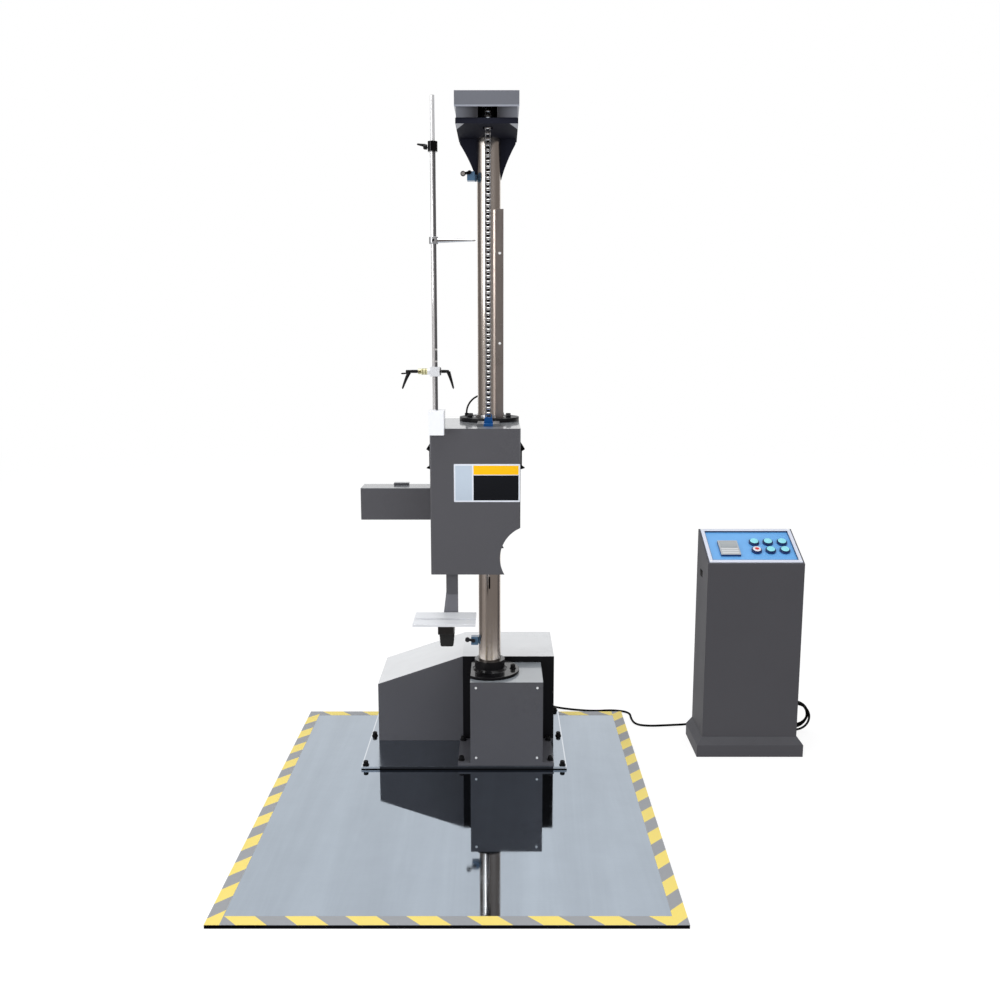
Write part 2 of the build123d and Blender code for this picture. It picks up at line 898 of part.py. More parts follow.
def switch_lever(pivot, tip_rise):
    """The roller lever of a limit switch: pin, arm and roller."""
    x, face, z = pivot
    arm_back = face - 1
    arm_front = arm_back - switch_arm_thickness
    tip_x = x - switch_arm_length
    tip_z = z + tip_rise
    lever = rod((x, arm_front, z), (x, face + switch_pin_depth - 1, z), switch_pin_radius)
    lever += rod((x, arm_front, z), (x, arm_back, z), 6)
    lever += rod((tip_x, arm_front, tip_z), (tip_x, arm_back, tip_z), 5)
    lever += prism_along_y(
        [(tip_x, tip_z - 4), (x, z - 4), (x, z + 4), (tip_x, tip_z + 4)], arm_front, arm_back
    )
    roller_front = arm_front - switch_roller_width
    return lever + rod(
        (tip_x, roller_front, tip_z), (tip_x, arm_front, tip_z), switch_roller_radius
    )


# The upper switch hangs on the left gusset, the lower one on a saddle against the column
gusset_front = column_y - gusset_thickness / 2
upper_bracket = block(
    upper_switch_right - switch_width, column_x - column_radius, gusset_front - switch_plate,
    gusset_front, upper_switch_z, upper_switch_z + switch_height - 6,
)
upper_body, upper_pivot = switch_body(
    upper_switch_right, gusset_front - switch_plate, upper_switch_z, 24
)
lower_body, lower_pivot = switch_body(
    lower_switch_right, column_y + switch_depth / 2, lower_switch_z, 16
)
saddle = block(
    lower_switch_right, column_x, column_y - 10, column_y + 10,
    lower_switch_z + 6, lower_switch_z + switch_height - 6,
)
saddle -= upright(
    column_x, column_y, lower_switch_z, lower_switch_z + switch_height,
    column_radius + seat_clearance,
)
save("limit_switches", upper_body + upper_bracket, lower_body + saddle)
save("upper_switch_lever", switch_lever(upper_pivot, -5))
save("lower_switch_lever", switch_lever(lower_pivot, 6))

# Carriage housing: a folded sheet box, open below, with a round notch low on the right
housing = block(
    housing_left, housing_right, housing_front, housing_back, housing_low, housing_top
)
housing = fillet(housing.edges().filter_by(Axis.Z), 4)
housing -= block(
    housing_left + housing_wall, housing_right - housing_wall, housing_front + housing_wall,
    housing_back - housing_wall, housing_low, housing_top - housing_wall,
)
housing -= rod((notch_x, housing_front, notch_z), (notch_x, housing_back, notch_z), notch_radius)
column_way = upright(
    column_x, column_y, housing_low, disc_top, bushing_radius + seat_clearance
)
rail_way = block(
    rail_left - working_gap, rail_right + working_gap, rail_front - working_gap,
    rail_way_back, housing_low, disc_top + wiper_height,
)
housing -= column_way
housing -= rail_way
save("carriage_housing", housing)

# Guide bushing with the bright wiper on top, split where the rail passes
bushing = tube(
    column_x, column_y, bushing_low, disc_top, bushing_radius, column_radius + slide_clearance
)
bushing += tube(
    column_x, column_y, bushing_low - 12, bushing_low, bushing_radius + 8,
    column_radius + slide_clearance,
)
bushing += tube(
    column_x, column_y, disc_top, disc_top + wiper_height, wiper_radius,
    column_radius + slide_clearance,
)
bushing += block(
    trip_plate_left, column_x - bushing_radius, column_y - 13, column_y + 13,
    bushing_low - 12, bushing_low,
)
bushing -= block(
    rail_left - working_gap, column_x + bushing_radius + 9, column_y - bushing_radius - 9,
    rail_way_back, bushing_low - 12, disc_top + wiper_height,
)
bushing -= block(
    bushing_relief_x, column_x + bushing_radius + 9, column_y - bushing_radius - 9,
    column_y + bushing_radius + 9, bushing_low - 12, bushing_low + bushing_relief_rise,
)
save("carriage_bushing", bushing)

# Black top disc with its ring of bolts
disc = tube(
    column_x, column_y, housing_top, disc_top, disc_radius, bushing_radius + seat_clearance
)
disc -= rail_way
disc_bolts = []
for turn in range(disc_bolt_count):
    angle = radians(30 + 360 / disc_bolt_count * turn)
    x = column_x + disc_bolt_circle * cos(angle)
    y = column_y + disc_bolt_circle * sin(angle)
    bolt_head = upright(x, y, disc_top, disc_top + disc_bolt_rise, disc_bolt_head)
    socket = extrude(RegularPolygon(disc_bolt_head / 2, 6), -disc_bolt_rise / 2)
    disc_bolts.append(bolt_head - Pos(x, y, disc_top + disc_bolt_rise) * socket)
save("top_disc", disc, *disc_bolts)


def side_grip(wall_x, side):
    """A moulded grip on a side wall: a flat bar with a pointed barb near each end."""
    tip_x = wall_x + side * handle_reach
    bar_x = wall_x + side * handle_bar
    low_tip = handle_low + low_barb_rise
    high_tip = handle_high - high_barb_drop
    outline = [
        (wall_x, handle_low), (tip_x, low_tip), (bar_x, low_tip + barb_height),
        (bar_x, high_tip - barb_height), (tip_x, high_tip), (wall_x, handle_high),
    ]
    return prism_along_y(outline, handle_y - handle_width / 2, handle_y + handle_width / 2)


save("side_handles", side_grip(housing_left, -1), side_grip(housing_right, 1))

# Blue chain anchor on its black base plate
anchor_base = block(
    chain_x - anchor_base_half, chain_x + anchor_base_half, anchor_base_front,
    anchor_base_back, housing_top, housing_top + anchor_base_thickness,
)
anchor_low = housing_top + anchor_base_thickness
anchor_outline = [
    (chain_x - anchor_width / 2 - 2, anchor_low),
    (chain_x + anchor_width / 2 + 2, anchor_low),
    (chain_x + anchor_width / 2 - 1, anchor_top),
    (chain_x - anchor_width / 2 + 1, anchor_top),
]
anchor = prism_along_y(
    anchor_outline, chain_front_y - anchor_depth / 2, chain_front_y + anchor_depth / 2
)
anchor -= block(
    chain_x - link_inner_width / 2 - link_plate * 2 - 0.3,
    chain_x + link_inner_width / 2 + link_plate * 2 + 0.3,
    chain_front_y - anchor_depth / 2, chain_front_y + anchor_depth / 2,
    anchor_top - 8, anchor_top,
)
save("chain_anchor", anchor_base, anchor)

# Air hose arching behind the column between two fittings
hose_centre = Vector(
    (hose_start[0] + hose_end[0]) / 2, (hose_start[1] + hose_end[1]) / 2, disc_top
)
hose_direction = Vector(hose_end[0] - hose_start[0], hose_end[1] - hose_start[1], 0)
hose_span = hose_direction.length / 2
hose_plane = Plane(
    origin=hose_centre, x_dir=hose_direction, z_dir=hose_direction.cross(Vector(0, 0, 1))
)
arch = hose_plane * CenterArc((0, 0), hose_span, 0, 180)
hose_lift = Pos(0, 0, hose_fitting_height)
hose = hose_lift * sweep(Plane(arch @ 0, z_dir=arch % 0) * Circle(hose_radius), path=arch)
fittings = [
    upright(x, y, disc_top, disc_top + hose_fitting_height, hose_fitting_radius)
    for x, y in (hose_start, hose_end)
]
save("air_hose", hose, *fittings)

# Cross tube with its end cap
cap_right = tube_left + tube_cap
cross = block(cap_right, housing_left, tube_front, tube_back, tube_low, tube_high)
cross -= block(
    cap_right, housing_left, tube_front + tube_wall, tube_back - tube_wall,
    tube_low + tube_wall, tube_high - tube_wall,
)
end_cap = block(tube_left, cap_right, tube_front, tube_back, tube_low, tube_high)
plug_inset = tube_wall + hole_clearance
end_cap += block(
    cap_right, cap_right + 3 * tube_wall, tube_front + plug_inset, tube_back - plug_inset,
    tube_low + plug_inset, tube_high - plug_inset,
)
raised_left = tube_left + tube_box_inset
raised_box = block(
    raised_left, raised_left + tube_box_width, tube_back - tube_box_depth - tube_box_rise,
    tube_back - tube_box_rise, tube_high, tube_high + tube_box_rise,
)
save("cross_tube", cross, end_cap, raised_box)

# Air cylinder and the guide block of the drop arm, both carried by the front wall
cylinder = tube(arm_x, arm_y, cylinder_low, cylinder_high, cylinder_radius, cylinder_bore)
cylinder += upright(arm_x, arm_y, cylinder_high, cylinder_high + 10, cylinder_radius)
cylinder += tube(
    arm_x, arm_y, cylinder_low, cylinder_low + cylinder_cap, cylinder_radius,
    piston_rod_radius + slide_clearance,
)
cylinder += block(
    arm_x - 14, arm_x + 14, housing_front + housing_wall, arm_y - cylinder_radius + 3,
    cylinder_low + 30, cylinder_low + 60,
)
guide = block(
    arm_x - arm_width / 2 - guide_wall, arm_x + arm_width / 2 + guide_wall,
    housing_front + housing_wall, arm_y + arm_depth / 2 + guide_wall, guide_low, guide_high,
)
guide -= block(
    arm_x - arm_width / 2 - slide_clearance, arm_x + arm_width / 2 + slide_clearance,
    arm_y - arm_depth / 2 - slide_clearance, arm_y + arm_depth / 2 + slide_clearance,
    guide_low, guide_high,
)
save("arm_cylinder", cylinder, guide)

# Drop arm: upright bar, flared at its foot, and the tongue that carries the slats
arm_left = arm_x - arm_width / 2
arm_right = arm_x + arm_width / 2
arm_outline = [
    (arm_left, arm_top),
    (arm_right, arm_top),
    (arm_right, arm_foot_z - arm_foot_height),
    (arm_flare_left, arm_foot_z - arm_foot_height),
    (arm_flare_left, arm_foot_z),
    (arm_left, arm_flare_z),
]
arm = prism_along_y(arm_outline, arm_y - arm_depth / 2, arm_y + arm_depth / 2)
arm += block(
    arm_foot_left, arm_foot_right, arm_foot_front, arm_y - arm_depth / 2,
    arm_foot_z - arm_foot_height, arm_foot_z,
)
save("arm_bar", arm)

slats = [
    block(slat_left, slat_right, y0, y1, arm_foot_z, arm_foot_z + slat_thickness)
    for y0, y1 in ((slat_front, slat_slot_front), (slat_slot_back, slat_back))
]
save("specimen_slats", *slats)

foot_x = (arm_foot_left + arm_foot_right) / 2
foot_top = arm_foot_z - arm_foot_height
foot_upper = Pos(foot_x, foot_y, foot_top) * Rectangle(2 * foot_top_half, 2 * foot_top_half)
foot_lower = Pos(foot_x, foot_y, foot_bottom) * Rectangle(
    2 * foot_bottom_half, 2 * foot_bottom_half
)
save("rubber_foot", loft([foot_lower, foot_upper]))

piston_z = cylinder_high - piston_height - 4
piston = upright(arm_x, arm_y, arm_top, piston_z, piston_rod_radius)
piston += upright(
    arm_x, arm_y, piston_z, piston_z + piston_height, cylinder_bore - slide_clearance
)
save("piston_rod", piston)

# Mast block over the housing's front edge, and the mast tube in its socket
mast_block = block(
    mast_block_left, mast_block_right, mast_block_front, mast_block_back,
    mast_block_low, mast_block_high,
)
mast_block -= block(
    mast_block_left, mast_block_right, housing_front, mast_block_back,
    mast_block_low, housing_top,
)
mast_foot = mast_block_high - mast_socket_depth
mast_block -= upright(mast_x, mast_y, mast_foot, mast_block_high, mast_radius + thread_clearance)
save("mast_block", mast_block)

mast = tube(
    mast_x, mast_y, mast_foot, mast_high, mast_radius, mast_rod_radius + slide_clearance
)
collar_on_mast = tube(
    mast_x, mast_y, rod_collar_low, mast_high, rod_collar_radius, mast_radius + thread_clearance
)
collar_on_mast += tube(
    mast_x, mast_y, mast_high, rod_collar_high, rod_collar_radius,
    mast_rod_radius + slide_clearance,
)
lever_bore = clamp_screw_radius + slide_clearance
collar_on_mast -= rod(
    (mast_x - rod_collar_radius, mast_y, rod_lever_z), (mast_x - mast_radius, mast_y, rod_lever_z),
    lever_bore,
)
save("mast_tube", mast, collar_on_mast)
save("mast_rod", upright(mast_x, mast_y, mast_rod_low, mast_rod_high, mast_rod_radius))

lever_x = mast_x - rod_collar_radius
rod_lever = rod(
    (mast_x - mast_radius - 0.3, mast_y, rod_lever_z), (lever_x - 1, mast_y, rod_lever_z),
    clamp_screw_radius,
)
rod_lever += rod(
    (lever_x - 1, mast_y, rod_lever_z), (lever_x - 13, mast_y, rod_lever_z), lever_hub_radius
)
rod_lever += rod(
    (lever_x - 9, mast_y, rod_lever_z),
    (mast_x - rod_lever_reach, mast_y, rod_lever_z + 15), lever_radius - 1,
)
save("rod_clamp_lever", rod_lever)

# Cross clamp that slides on the mast, with a brass nut and two clamp levers
cross_clamp = block(
    mast_x - cross_clamp_half, mast_x + cross_clamp_half, mast_y - cross_clamp_half,
    mast_y + cross_clamp_half, cross_clamp_z - cross_clamp_half, cross_clamp_z + cross_clamp_half,
)
nut_x = mast_x - cross_clamp_half - cross_nut_length
cross_clamp += rod(
    (nut_x, mast_y, cross_clamp_z), (mast_x - cross_clamp_half, mast_y, cross_clamp_z),
    cross_nut_radius,
)
cross_clamp -= upright(
    mast_x, mast_y, cross_clamp_z - cross_clamp_half, cross_clamp_z + cross_clamp_half,
    mast_radius + slide_clearance,
)
cross_clamp -= rod(
    (nut_x, mast_y, cross_clamp_z), (mast_x + cross_clamp_half, mast_y, cross_clamp_z), lever_bore
)
save("cross_clamp", cross_clamp)


def clamp_lever(screw_from, hub_from, hub_to, handle_end):
    """A clamp screw along X with a hub and a drooping handle."""
    lever = rod(
        (screw_from, mast_y, cross_clamp_z), (hub_from, mast_y, cross_clamp_z), clamp_screw_radius
    )
    lever += rod(
        (hub_from, mast_y, cross_clamp_z), (hub_to, mast_y, cross_clamp_z), lever_hub_radius
    )
    middle = (hub_from + 2 * hub_to) / 3
    return lever + taper(
        (middle, mast_y, cross_clamp_z), (handle_end, mast_y, cross_clamp_z - lever_drop),
        lever_radius + 1, lever_radius - 1,
    )


tip_gap = mast_radius + 0.3
save(
    "left_clamp_lever",
    clamp_lever(mast_x - tip_gap, left_hub_x, left_hub_x - lever_hub_length, left_hub_x - 46),
)
right_lever = clamp_lever(
    mast_x + tip_gap, right_hub_x, right_hub_x + right_hub_length, right_hub_x + 15
)
right_lever += rod(
    (right_washer_x, mast_y, cross_clamp_z), (right_washer_x + 4, mast_y, cross_clamp_z), 10
)
save("right_clamp_lever", right_lever)

# Holding finger: a collar that turns on the mast and a tapering bright finger
finger_half = finger_collar_height / 2
finger = upright(
    mast_x, mast_y, finger_z - finger_half, finger_z + finger_half, finger_collar_radius
)
finger += taper(
    (mast_x, mast_y, finger_z), (finger_tip_x, mast_y, finger_z),
    finger_root_radius, finger_tip_radius,
)
finger -= upright(
    mast_x, mast_y, finger_z - finger_half, finger_z + finger_half, mast_radius + slide_clearance
)
save("holding_finger", finger)


def console_outline(inset, low, open_top):
    """The console's side outline, inset by a wall, from a low height up to the slope."""
    front = console_front + inset
    back = console_back - inset
    drop = inset / cos(slope) if not open_top else 0
    front_z = console_front_height + inset * tan(slope) - drop
    back_z = console_front_height + (console_depth - inset) * tan(slope) - drop
    return [(front, low), (back, low), (back, back_z), (front, front_z)]


# Everything on the sloping face is placed from its lower edge, with x to the right, y up
# the slope and z out of it
panel_plane = Plane(
    origin=(console_x, console_front, console_front_height),
    x_dir=(1, 0, 0), z_dir=(0, -sin(slope), cos(slope)),
)


def on_panel(x0, x1, y0, y1, z0, z1):
    """A box placed on the sloping face."""
    return panel_plane * block(x0, x1, y0, y1, z0, z1)


def panel_disc(x, y, z0, z1, radius):
    """A round bar that stands out of the sloping face."""
    return panel_plane * upright(x, y, z0, z1, radius)


panel_half = (console_right - console_left) / 2 - frame_margin
panel_low = frame_margin
panel_high = slope_length - frame_margin
inner_half = panel_half - frame_border
inner_low = panel_low + frame_border
inner_high = panel_high - frame_border

console = prism_along_x(console_outline(0, skirt_height, False), console_left, console_right)
console -= prism_along_x(
    console_outline(console_wall, skirt_height, False),
    console_left + console_wall, console_right - console_wall,
)
console -= on_panel(-inner_half, inner_half, inner_low, inner_high, -6, 1)
rear_low = skirt_slope_height + rear_panel_margin
rear_high = console_front_height + console_rise - rear_panel_margin
rear_left = console_left + rear_panel_margin
rear_right = console_right - rear_panel_margin
rear_lip = 10.0
console -= block(
    rear_left + rear_lip, rear_right - rear_lip, console_back - console_wall, console_back,
    rear_low + rear_lip, rear_high - rear_lip,
)
console -= block(
    console_left, console_left + recess_depth, recess_y - recess_width / 2,
    recess_y + recess_width / 2, recess_z - recess_height / 2, recess_z + recess_height / 2,
)
skirt_low_face = Pos((skirt_left + skirt_right) / 2, (skirt_front + console_back) / 2, 0) * Rectangle(
    skirt_right - skirt_left, console_back - skirt_front
)
skirt_base = extrude(skirt_low_face, skirt_height)
skirt_top_face = Pos(console_x, (console_front + console_back) / 2, skirt_slope_height) * Rectangle(
    console_right - console_left, console_back - console_front
)
skirt_shape = skirt_base + loft([Pos(0, 0, skirt_height) * skirt_low_face, skirt_top_face])
skirt_shape -= block(
    console_left, console_right, console_front, console_back, skirt_height, skirt_slope_height
)
skirt_shape -= block(
    skirt_left + console_wall, skirt_right - console_wall, skirt_front + console_wall,
    console_back - console_wall, 0, skirt_height - console_wall,
)
save("console_body", console, skirt_shape)

# Rear panel with the power inlet
rear_panel = block(
    rear_left, rear_right, console_back, console_back + rear_panel_thickness, rear_low, rear_high
)
console_gland_x, console_gland_z = console_gland
inlet_x = console_left + 70
inlet_z = console_gland_z
inlet_back = console_back + rear_panel_thickness
rear_panel -= rod(
    (console_gland_x, console_back, console_gland_z),
    (console_gland_x, inlet_back, console_gland_z), gland_radius - 3,
)
inlet = block(inlet_x - 16, inlet_x + 16, inlet_back, inlet_back + 3, inlet_z - 14, inlet_z + 14)
inlet -= block(
    inlet_x - 11, inlet_x + 11, inlet_back + 1, inlet_back + 3, inlet_z - 8, inlet_z + 8
)
save("console_rear_panel", rear_panel, inlet)

# White frame, blue panel, display and button bezels
frame = on_panel(-panel_half, panel_half, panel_low, panel_high, 0, frame_thickness)
frame -= on_panel(-inner_half, inner_half, inner_low, inner_high, 0, frame_thickness)
save("panel_frame", frame)

panel = on_panel(
    -panel_half + 4, panel_half - 4, panel_low + 4, panel_high - 4, -console_wall - panel_thickness,
    -console_wall,
)
display_cut = on_panel(
    display_left + 3, display_right - 3, display_low + 3, display_high - 3,
    -console_wall - panel_thickness, -console_wall,
)
panel -= display_cut
for x in button_columns:
    for y in button_rows:
        panel -= panel_disc(
            x, y, -console_wall - panel_thickness, -console_wall,
            button_stem_radius + button_clearance,
        )
save("control_panel", panel)

display = on_panel(
    display_left, display_right, display_low, display_high, -console_wall,
    -console_wall + display_proud,
)
display += on_panel(
    display_left + 3.2, display_right - 3.2, display_low + 3.2, display_high - 3.2,
    -console_wall - display_depth, -console_wall,
)
save("display_unit", display)

bezels = []
bezel_top = -console_wall + bezel_height
for x in button_columns:
    for y in button_rows:
        ring = panel_disc(x, y, -console_wall, bezel_top, bezel_radius)
        ring -= panel_disc(x, y, bezel_top - 5, bezel_top, button_radius + button_clearance)
        ring -= panel_disc(x, y, -console_wall, bezel_top, button_stem_radius + button_clearance)
        bezels.append(ring)
save("button_bezels", *bezels)

cap_low = bezel_top - 5 + button_travel + 0.5
button_names = (
    "button_up", "button_down", "button_reset", "button_drop", "button_home", "button_power"
)
places = [(x, y) for y in button_rows for x in button_columns]
for name, (x, y) in zip(button_names, places):
    cap = panel_disc(x, y, cap_low, -console_wall + button_proud, button_radius)
    cap += panel_disc(x, y, -console_wall - panel_thickness - 8, cap_low, button_stem_radius)
    save(name, cap)

# Small bright screws on the pedestal, the rail, the panel frame and the rear panel


def small_screw(seat, outward):
    """A pan-head screw, seated at a point, with its head on the outward side."""
    seat = Vector(*seat)
    outward = Vector(*outward)
    head = rod(seat, seat + outward * screw_head_height, screw_head_radius)
    return head + rod(seat - outward * (screw_length - 1), seat, screw_shank_radius)


screws = [small_screw(seat, (0, -1, 0)) for seat in pedestal_screws]
screws += [small_screw((rail_x, rail_front, z), (0, -1, 0)) for z in rail_screws]
panel_screws = [
    panel_disc(x, y, frame_thickness, frame_thickness + 1.5, 3.5)
    for x in (-panel_half + frame_border / 2, panel_half - frame_border / 2)
    for y in (panel_low + frame_border / 2, panel_high - frame_border / 2)
]
rear_screws = [
    rod((x, inlet_back, z), (x, inlet_back + 2, z), screw_head_radius)
    for x in (rear_left + 5, rear_right - 5)
    for z in (rear_low + 5, (rear_low + rear_high) / 2, rear_high - 5)
]
save("small_screws", *screws, *panel_screws, *rear_screws)


def gland(x, y, z, bore_radius):
    """A cable gland on a rear wall: a hexagonal nut and a domed cap with a hole."""
    facing_back = Plane(origin=(x, y, z), x_dir=(1, 0, 0), z_dir=(0, 1, 0))
    nut = extrude(facing_back * RegularPolygon(gland_radius + 2, 6), 6)
    nut += taper((x, y + 6, z), (x, y + gland_length, z), gland_radius, gland_radius - 3)
    return nut - rod((x, y, z), (x, y + gland_length, z), bore_radius)


cable_bore = cable_radius + seat_clearance
save(
    "cable_glands",
    gland(gland_x, cabinet_back, gland_z, cable_bore),
    gland(console_gland_x, inlet_back, console_gland_z, cable_bore),
)

# Control cable: out of the cabinet's back, round the plate and along the floor
cable_floor = cable_radius + 0.5
cable_route = [
    (gland_x, cabinet_back + 2, gland_z),
    (gland_x, cabinet_back + 44, gland_z),
    (gland_x + 22, cabinet_back + 70, gland_z - 36),
    (gland_x + 70, cabinet_back + 66, cable_floor + 4),
    (gland_x + 140, 737, cable_floor),
    (495, 718, cable_floor),
    (580, 724, cable_floor),
    (634, 700, cable_floor),
    (630, 636, cable_floor),
    (654, 594, cable_floor),
    (708, 577, cable_floor),
    (790, 590, cable_floor),
    (872, 580, cable_floor),
    (960, 590, cable_floor),
    (1040, 570, cable_floor),
    (coil_x - 70, 538, cable_floor + 1),
    (coil_x - 27, coil_y, cable_floor + 4),
]
tail_route = [
    (coil_x - 15, coil_y, 102),
    (coil_x - 60, coil_y + 10, 112),
    (1104, coil_y + 36, 132),
    (1080, coil_y + 58, 166),
    (1080, coil_y + 50, 207),
    (1080, coil_y + 19, console_gland_z),
    (console_gland_x, inlet_back + 2, console_gland_z),
]


def corner_radii(points):
    """The radius of each bend: 0.45 of the shorter run over the tangent of half the turn."""
    radii = []
    for before, here, after in zip(points, points[1:], points[2:]):
        first = Vector(*here) - Vector(*before)
        second = Vector(*after) - Vector(*here)
        turn = radians(first.get_angle(second))
        radii.append(0.45 * min(first.length, second.length) / tan(turn / 2))
    return radii


def cable(points):
    """A round cable along straight runs joined by tangent arcs."""
    radii = corner_radii(points)
    print("cable radii", [round(radius) for radius in radii])
    path = FilletPolyline(*points, radius=radii)
    start = Plane(origin=path @ 0, z_dir=path % 0)
    solid = sweep(start * Circle(cable_radius), path=path)
    print("cable length", round(path.length), "volume share",
          round(solid.volume / (pi * cable_radius**2 * path.length), 4))
    return solid


save("control_cable", cable(cable_route), cable(tail_route))
coil_ring = Pos(coil_x, coil_y, coil_major + coil_minor) * Rot(90, 0, 0) * Torus(
    coil_major, coil_minor
)
save("control_cable_coil", coil_ring)

os.makedirs("parts", exist_ok=True)
for name, solids in nodes.items():
    shape = solids[0] if len(solids) == 1 else Compound(solids)
    export_step(shape, os.path.join("parts", name + ".step"))
print(len(nodes), "nodes")
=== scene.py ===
"""Looks of a free-standing single arm drop tester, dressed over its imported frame."""

import json
import math
from functools import partial

import bmesh
import bpy
import numpy as np
from bpy.props import FloatProperty, FloatVectorProperty, IntProperty, PointerProperty
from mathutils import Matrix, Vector


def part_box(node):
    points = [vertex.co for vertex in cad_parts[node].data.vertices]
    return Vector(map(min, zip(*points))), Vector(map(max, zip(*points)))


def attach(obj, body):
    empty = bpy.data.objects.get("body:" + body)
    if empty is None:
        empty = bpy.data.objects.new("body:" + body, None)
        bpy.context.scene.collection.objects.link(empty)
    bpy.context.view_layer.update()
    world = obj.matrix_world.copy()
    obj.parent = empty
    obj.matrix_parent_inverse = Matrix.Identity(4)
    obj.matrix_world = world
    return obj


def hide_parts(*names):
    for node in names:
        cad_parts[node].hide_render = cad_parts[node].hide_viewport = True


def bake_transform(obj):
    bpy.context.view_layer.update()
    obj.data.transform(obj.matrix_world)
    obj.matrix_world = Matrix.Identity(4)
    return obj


bl_info = {
    "name": "Drop Tester Looks",
    "version": (1, 0, 0),
    "blender": (4, 5, 0),
    "location": "3D View > Sidebar > Drop Tester",
    "description": "Dresses the packed frame of a single arm drop tester",
    "category": "Object",
}

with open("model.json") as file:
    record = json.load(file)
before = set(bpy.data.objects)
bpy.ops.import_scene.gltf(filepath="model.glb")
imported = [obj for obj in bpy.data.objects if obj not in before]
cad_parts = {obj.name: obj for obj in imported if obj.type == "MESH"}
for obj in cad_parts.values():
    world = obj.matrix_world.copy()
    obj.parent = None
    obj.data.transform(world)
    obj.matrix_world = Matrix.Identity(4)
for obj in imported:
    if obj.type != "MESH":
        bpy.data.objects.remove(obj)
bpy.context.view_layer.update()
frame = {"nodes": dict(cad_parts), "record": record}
NODES = frame["nodes"]
SLOT_OF = {part["node"]: part["material_slot"] for part in frame["record"]["subparts"]}
MM = 0.001

# The sloping face of the console: its lower edge, and its directions right, up and out
SLOPE = math.radians(24.9)
PANEL_ORIGIN = np.array((0.999, 0.324, 0.683))
PANEL_UP = np.array((0.0, math.cos(SLOPE), math.sin(SLOPE)))
PANEL_OUT = np.array((0.0, -math.sin(SLOPE), math.cos(SLOPE)))
PANEL_RIGHT = np.array((1.0, 0.0, 0.0))
# The panel's own face, under the rim of its frame
PANEL_FLOOR = -2.0 * MM

# The middles of the head and of the front chain in X, in metres
HEAD_MIDDLE = 0.0925
CHAIN_MIDDLE = 0.095

# The plate on the housing's front and its plain fields, in metres: X0, X1, Z0, Z1
LABEL_PLATE = (-0.0080, 0.1915, 0.9476, 1.0635)
PALE_FIELD = (-0.0035, 0.0465, 0.9525, 1.0585)
AMBER_FIELD = (0.0510, 0.1870, 1.0310, 1.0585)
BLACK_FIELD = (0.0510, 0.1870, 0.9525, 1.0290)


# Settings that a user would change


def length(name, default, description):
    """A distance in metres."""
    return FloatProperty(
        name=name, default=default, description=description, unit="LENGTH",
        subtype="DISTANCE", precision=4,
    )


def colour(name, default, description):
    """A linear colour."""
    return FloatVectorProperty(
        name=name, default=default, description=description, subtype="COLOR",
        size=3, min=0.0, max=1.0,
    )


class StageSettings(bpy.types.PropertyGroup):
    camera_place: FloatVectorProperty(
        name="Camera place", default=(0.131, -2.921, 1.443), unit="LENGTH",
        subtype="XYZ", description="Where the camera stands",
    )
    camera_pitch: FloatProperty(
        name="Camera pitch", default=math.radians(80.54), unit="ROTATION",
        subtype="ANGLE", description="Turn of the camera about X, 90 degrees being level",
    )
    focal_length: FloatProperty(
        name="Focal length", default=35.42, description="Focal length in millimetres"
    )
    ambient: FloatProperty(
        name="Ambient", default=0.62, min=0.0, description="Strength of the even light"
    )
    strip_power: FloatProperty(
        name="Strip lamp", default=34.0, min=0.0, unit="POWER",
        description="Power of the tall lamp at the left",
    )
    top_power: FloatProperty(
        name="Top lamp", default=60.0, min=0.0, unit="POWER",
        description="Power of the wide lamp overhead",
    )
    fill_power: FloatProperty(
        name="Fill lamp", default=30.0, min=0.0, unit="POWER",
        description="Power of the soft lamp at the front right",
    )
    card_shade: colour("Card shade", (0.20, 0.18, 0.17), "Colour of the cards in reflections")


class FinishSettings(bpy.types.PropertyGroup):
    housing_paint: colour("Housing paint", (0.085, 0.086, 0.098), "Powder coat of the housings")
    console_paint: colour("Console paint", (0.070, 0.069, 0.078), "Powder coat of the console")
    hood_paint: colour("Hood paint", (0.15, 0.158, 0.185), "Paler coat of the head's hood")
    plate: colour("Impact plate", (0.40, 0.455, 0.52), "Polished impact plate")
    mounting_plate: colour("Mounting plate", (0.42, 0.47, 0.53), "Pale mounting plate")
    tape_yellow: colour("Tape yellow", (0.98, 0.78, 0.17), "Yellow of the hazard tape")
    tape_grey: colour("Tape grey", (0.33, 0.34, 0.36), "Grey of the hazard tape")
    column: colour("Column", (0.76, 0.70, 0.65), "Hard chrome of the column")
    black: colour("Black parts", (0.007, 0.007, 0.009), "Black satin steel")
    anchor: colour("Chain anchor", (0.003, 0.085, 0.30), "Blue enamel of the chain anchor")
    panel: colour("Panel", (0.15, 0.44, 0.88), "Blue overlay of the control panel")


class ChainSettings(bpy.types.PropertyGroup):
    roller_radius: length("Roller radius", 5.08 * MM, "Radius of a chain roller")
    inner_width: length("Inner width", 9.65 * MM, "Width between the inner plates")
    plate_thickness: length("Plate", 1.7 * MM, "Thickness of a link plate")
    plate_radius: length("Plate end", 7.2 * MM, "Radius of a link plate's ends")
    plate_waist: length("Plate waist", 4.9 * MM, "Half width of a link plate between its pins")
    links: IntProperty(name="Links", default=56, min=2, description="Pitches in the front run")


